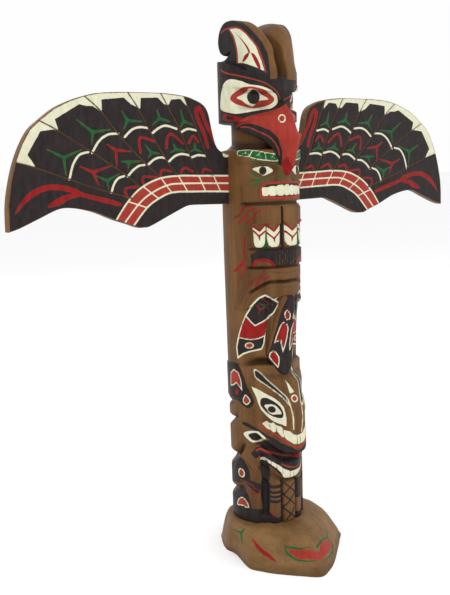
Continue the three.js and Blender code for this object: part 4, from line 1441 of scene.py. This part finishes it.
# %% Paint the mound
mound_paint = Paint(mound_points[:, 0], mound_points[:, 1], allowed=mound_points[:, 2] > 2)
FISH = [(-39, -92), (-34, -96), (-16, -110), (-3, -113), (12, -101), (29, -93), (41, -88),
    (34, -98), (9, -115), (-12, -123), (-28, -115), (-36, -106)]
mound_paint.shape("red", FISH)
mound_paint.stroke("green", [(-39, -86), (-42, -92), (-39, -102), (-33, -112), (-23, -121),
    (-11, -125)], 2.6, 0.4)
mound_paint.stroke("green", [(-38, -89), (-32, -95), (-21, -105), (-3, -109)], 2.6, 0.4)
mound_paint.stroke("green", [(0, -107), (19, -96), (36, -87), (47, -75)], 2.6, 0.5)
mound_paint.stroke("green", [(36, -88), (43, -90), (31, -103), (15, -115), (-3, -123)], 2.6, 0.3)
mound_paint.shape("crimson", [(-65, -45), (-64, -58), (-60, -74), (-56, -91), (-61, -81),
    (-66, -66), (-67, -56)])
seen_across = mound_points @ (0.813, -0.582, -0.028)
seen_up = mound_points @ (0.105, 0.099, 0.989)
in_sight = mound_points @ (0.573, 0.807, 0) < 0
side_paint = Paint(seen_across, seen_up, allowed=in_sight, over=mound_paint)
side_paint.forks("green", 3.2, 0.3, [[(-41.5, 25.5), (-54, 25), (-37, 32), (-40, 11)]])
mound_paint.store(mound_mesh)
# painted shade: the mound is darkened towards its foot, where it meets the floor
store_cut_shade(mound_mesh, 0.5 * slope(12, 0, mound_points[:, 2]))

# %% [markdown]
# ## Camera, light and floor
# The photograph was taken a little to the left of the pole's front, from just below the bird's
# head, with soft light from all round. The camera stands where the two halves of the wings
# showed it to stand, and the floor and the light are plain.

# %% Camera
CAMERA_PLACE = Vector((-0.7718, -0.9934, 0.540))
CAMERA_RIGHT = Vector((0.81266, -0.58205, -0.02821))
CAMERA_UP = Vector((0.10530, 0.09906, 0.98949))
CAMERA_FORWARD = Vector((0.57314, 0.80709, -0.14179))
FOCAL_PIXELS = 900.0
PHOTO_HEIGHT = 595.0
SENSOR = 36.0

camera_data = bpy.data.cameras.new("camera")
camera_data.sensor_width = SENSOR
camera_data.lens = FOCAL_PIXELS * SENSOR / PHOTO_HEIGHT
camera = bpy.data.objects.new("camera", camera_data)
turn = Matrix((CAMERA_RIGHT, CAMERA_UP, -CAMERA_FORWARD)).transposed().to_4x4()
camera.matrix_world = Matrix.Translation(CAMERA_PLACE) @ turn
bpy.context.scene.collection.objects.link(camera)
bpy.context.scene.camera = camera
print("lens", round(camera_data.lens, 1), "mm")

# %% [markdown]
# ## Floor and light
# The floor is a wide pale sheet and the world behind it is as white, so that the horizon hardly
# shows. Three large soft lights give gentle shading without hard shadows.

# %% Floor and light
FLOOR_HALF = 40.0
floor_mesh = bpy.data.meshes.new("floor")
floor_corners = [(x * FLOOR_HALF, y * FLOOR_HALF, 0) for x, y in ((-1, -1), (1, -1), (1, 1),
    (-1, 1))]
floor_mesh.from_pydata(floor_corners, [], [(0, 1, 2, 3)])
floor_nodes = Nodes("pale_floor")
floor_nodes.shader.inputs["Base Color"].default_value = (0.95, 0.95, 0.95, 1)
floor_nodes.shader.inputs["Roughness"].default_value = 0.9
floor_mesh.materials.append(floor_nodes.material)
floor = bpy.data.objects.new("floor", floor_mesh)
bpy.context.scene.collection.objects.link(floor)


def soft_light(name, place, aim, size, power):
    data = bpy.data.lights.new(name, "AREA")
    data.size = size
    data.energy = power
    light = bpy.data.objects.new(name, data)
    light.location = place
    light.rotation_euler = (Vector(aim) - Vector(place)).to_track_quat("-Z", "Y").to_euler()
    bpy.context.scene.collection.objects.link(light)


soft_light("key", (-1.6, -2.2, 2.4), (0, 0, 0.4), 1.6, 34)
soft_light("fill", (2.4, -1.6, 1.4), (0, 0, 0.4), 2.2, 16)
soft_light("back", (0.4, 2.4, 2.2), (0, 0, 0.5), 2.0, 14)
world = bpy.data.worlds.new("studio")
world.use_nodes = True
world.node_tree.nodes["Background"].inputs["Color"].default_value = (0.99, 0.99, 1.0, 1)
world.node_tree.nodes["Background"].inputs["Strength"].default_value = 1.0
bpy.context.scene.world = world
bpy.context.scene.view_settings.view_transform = "Standard"
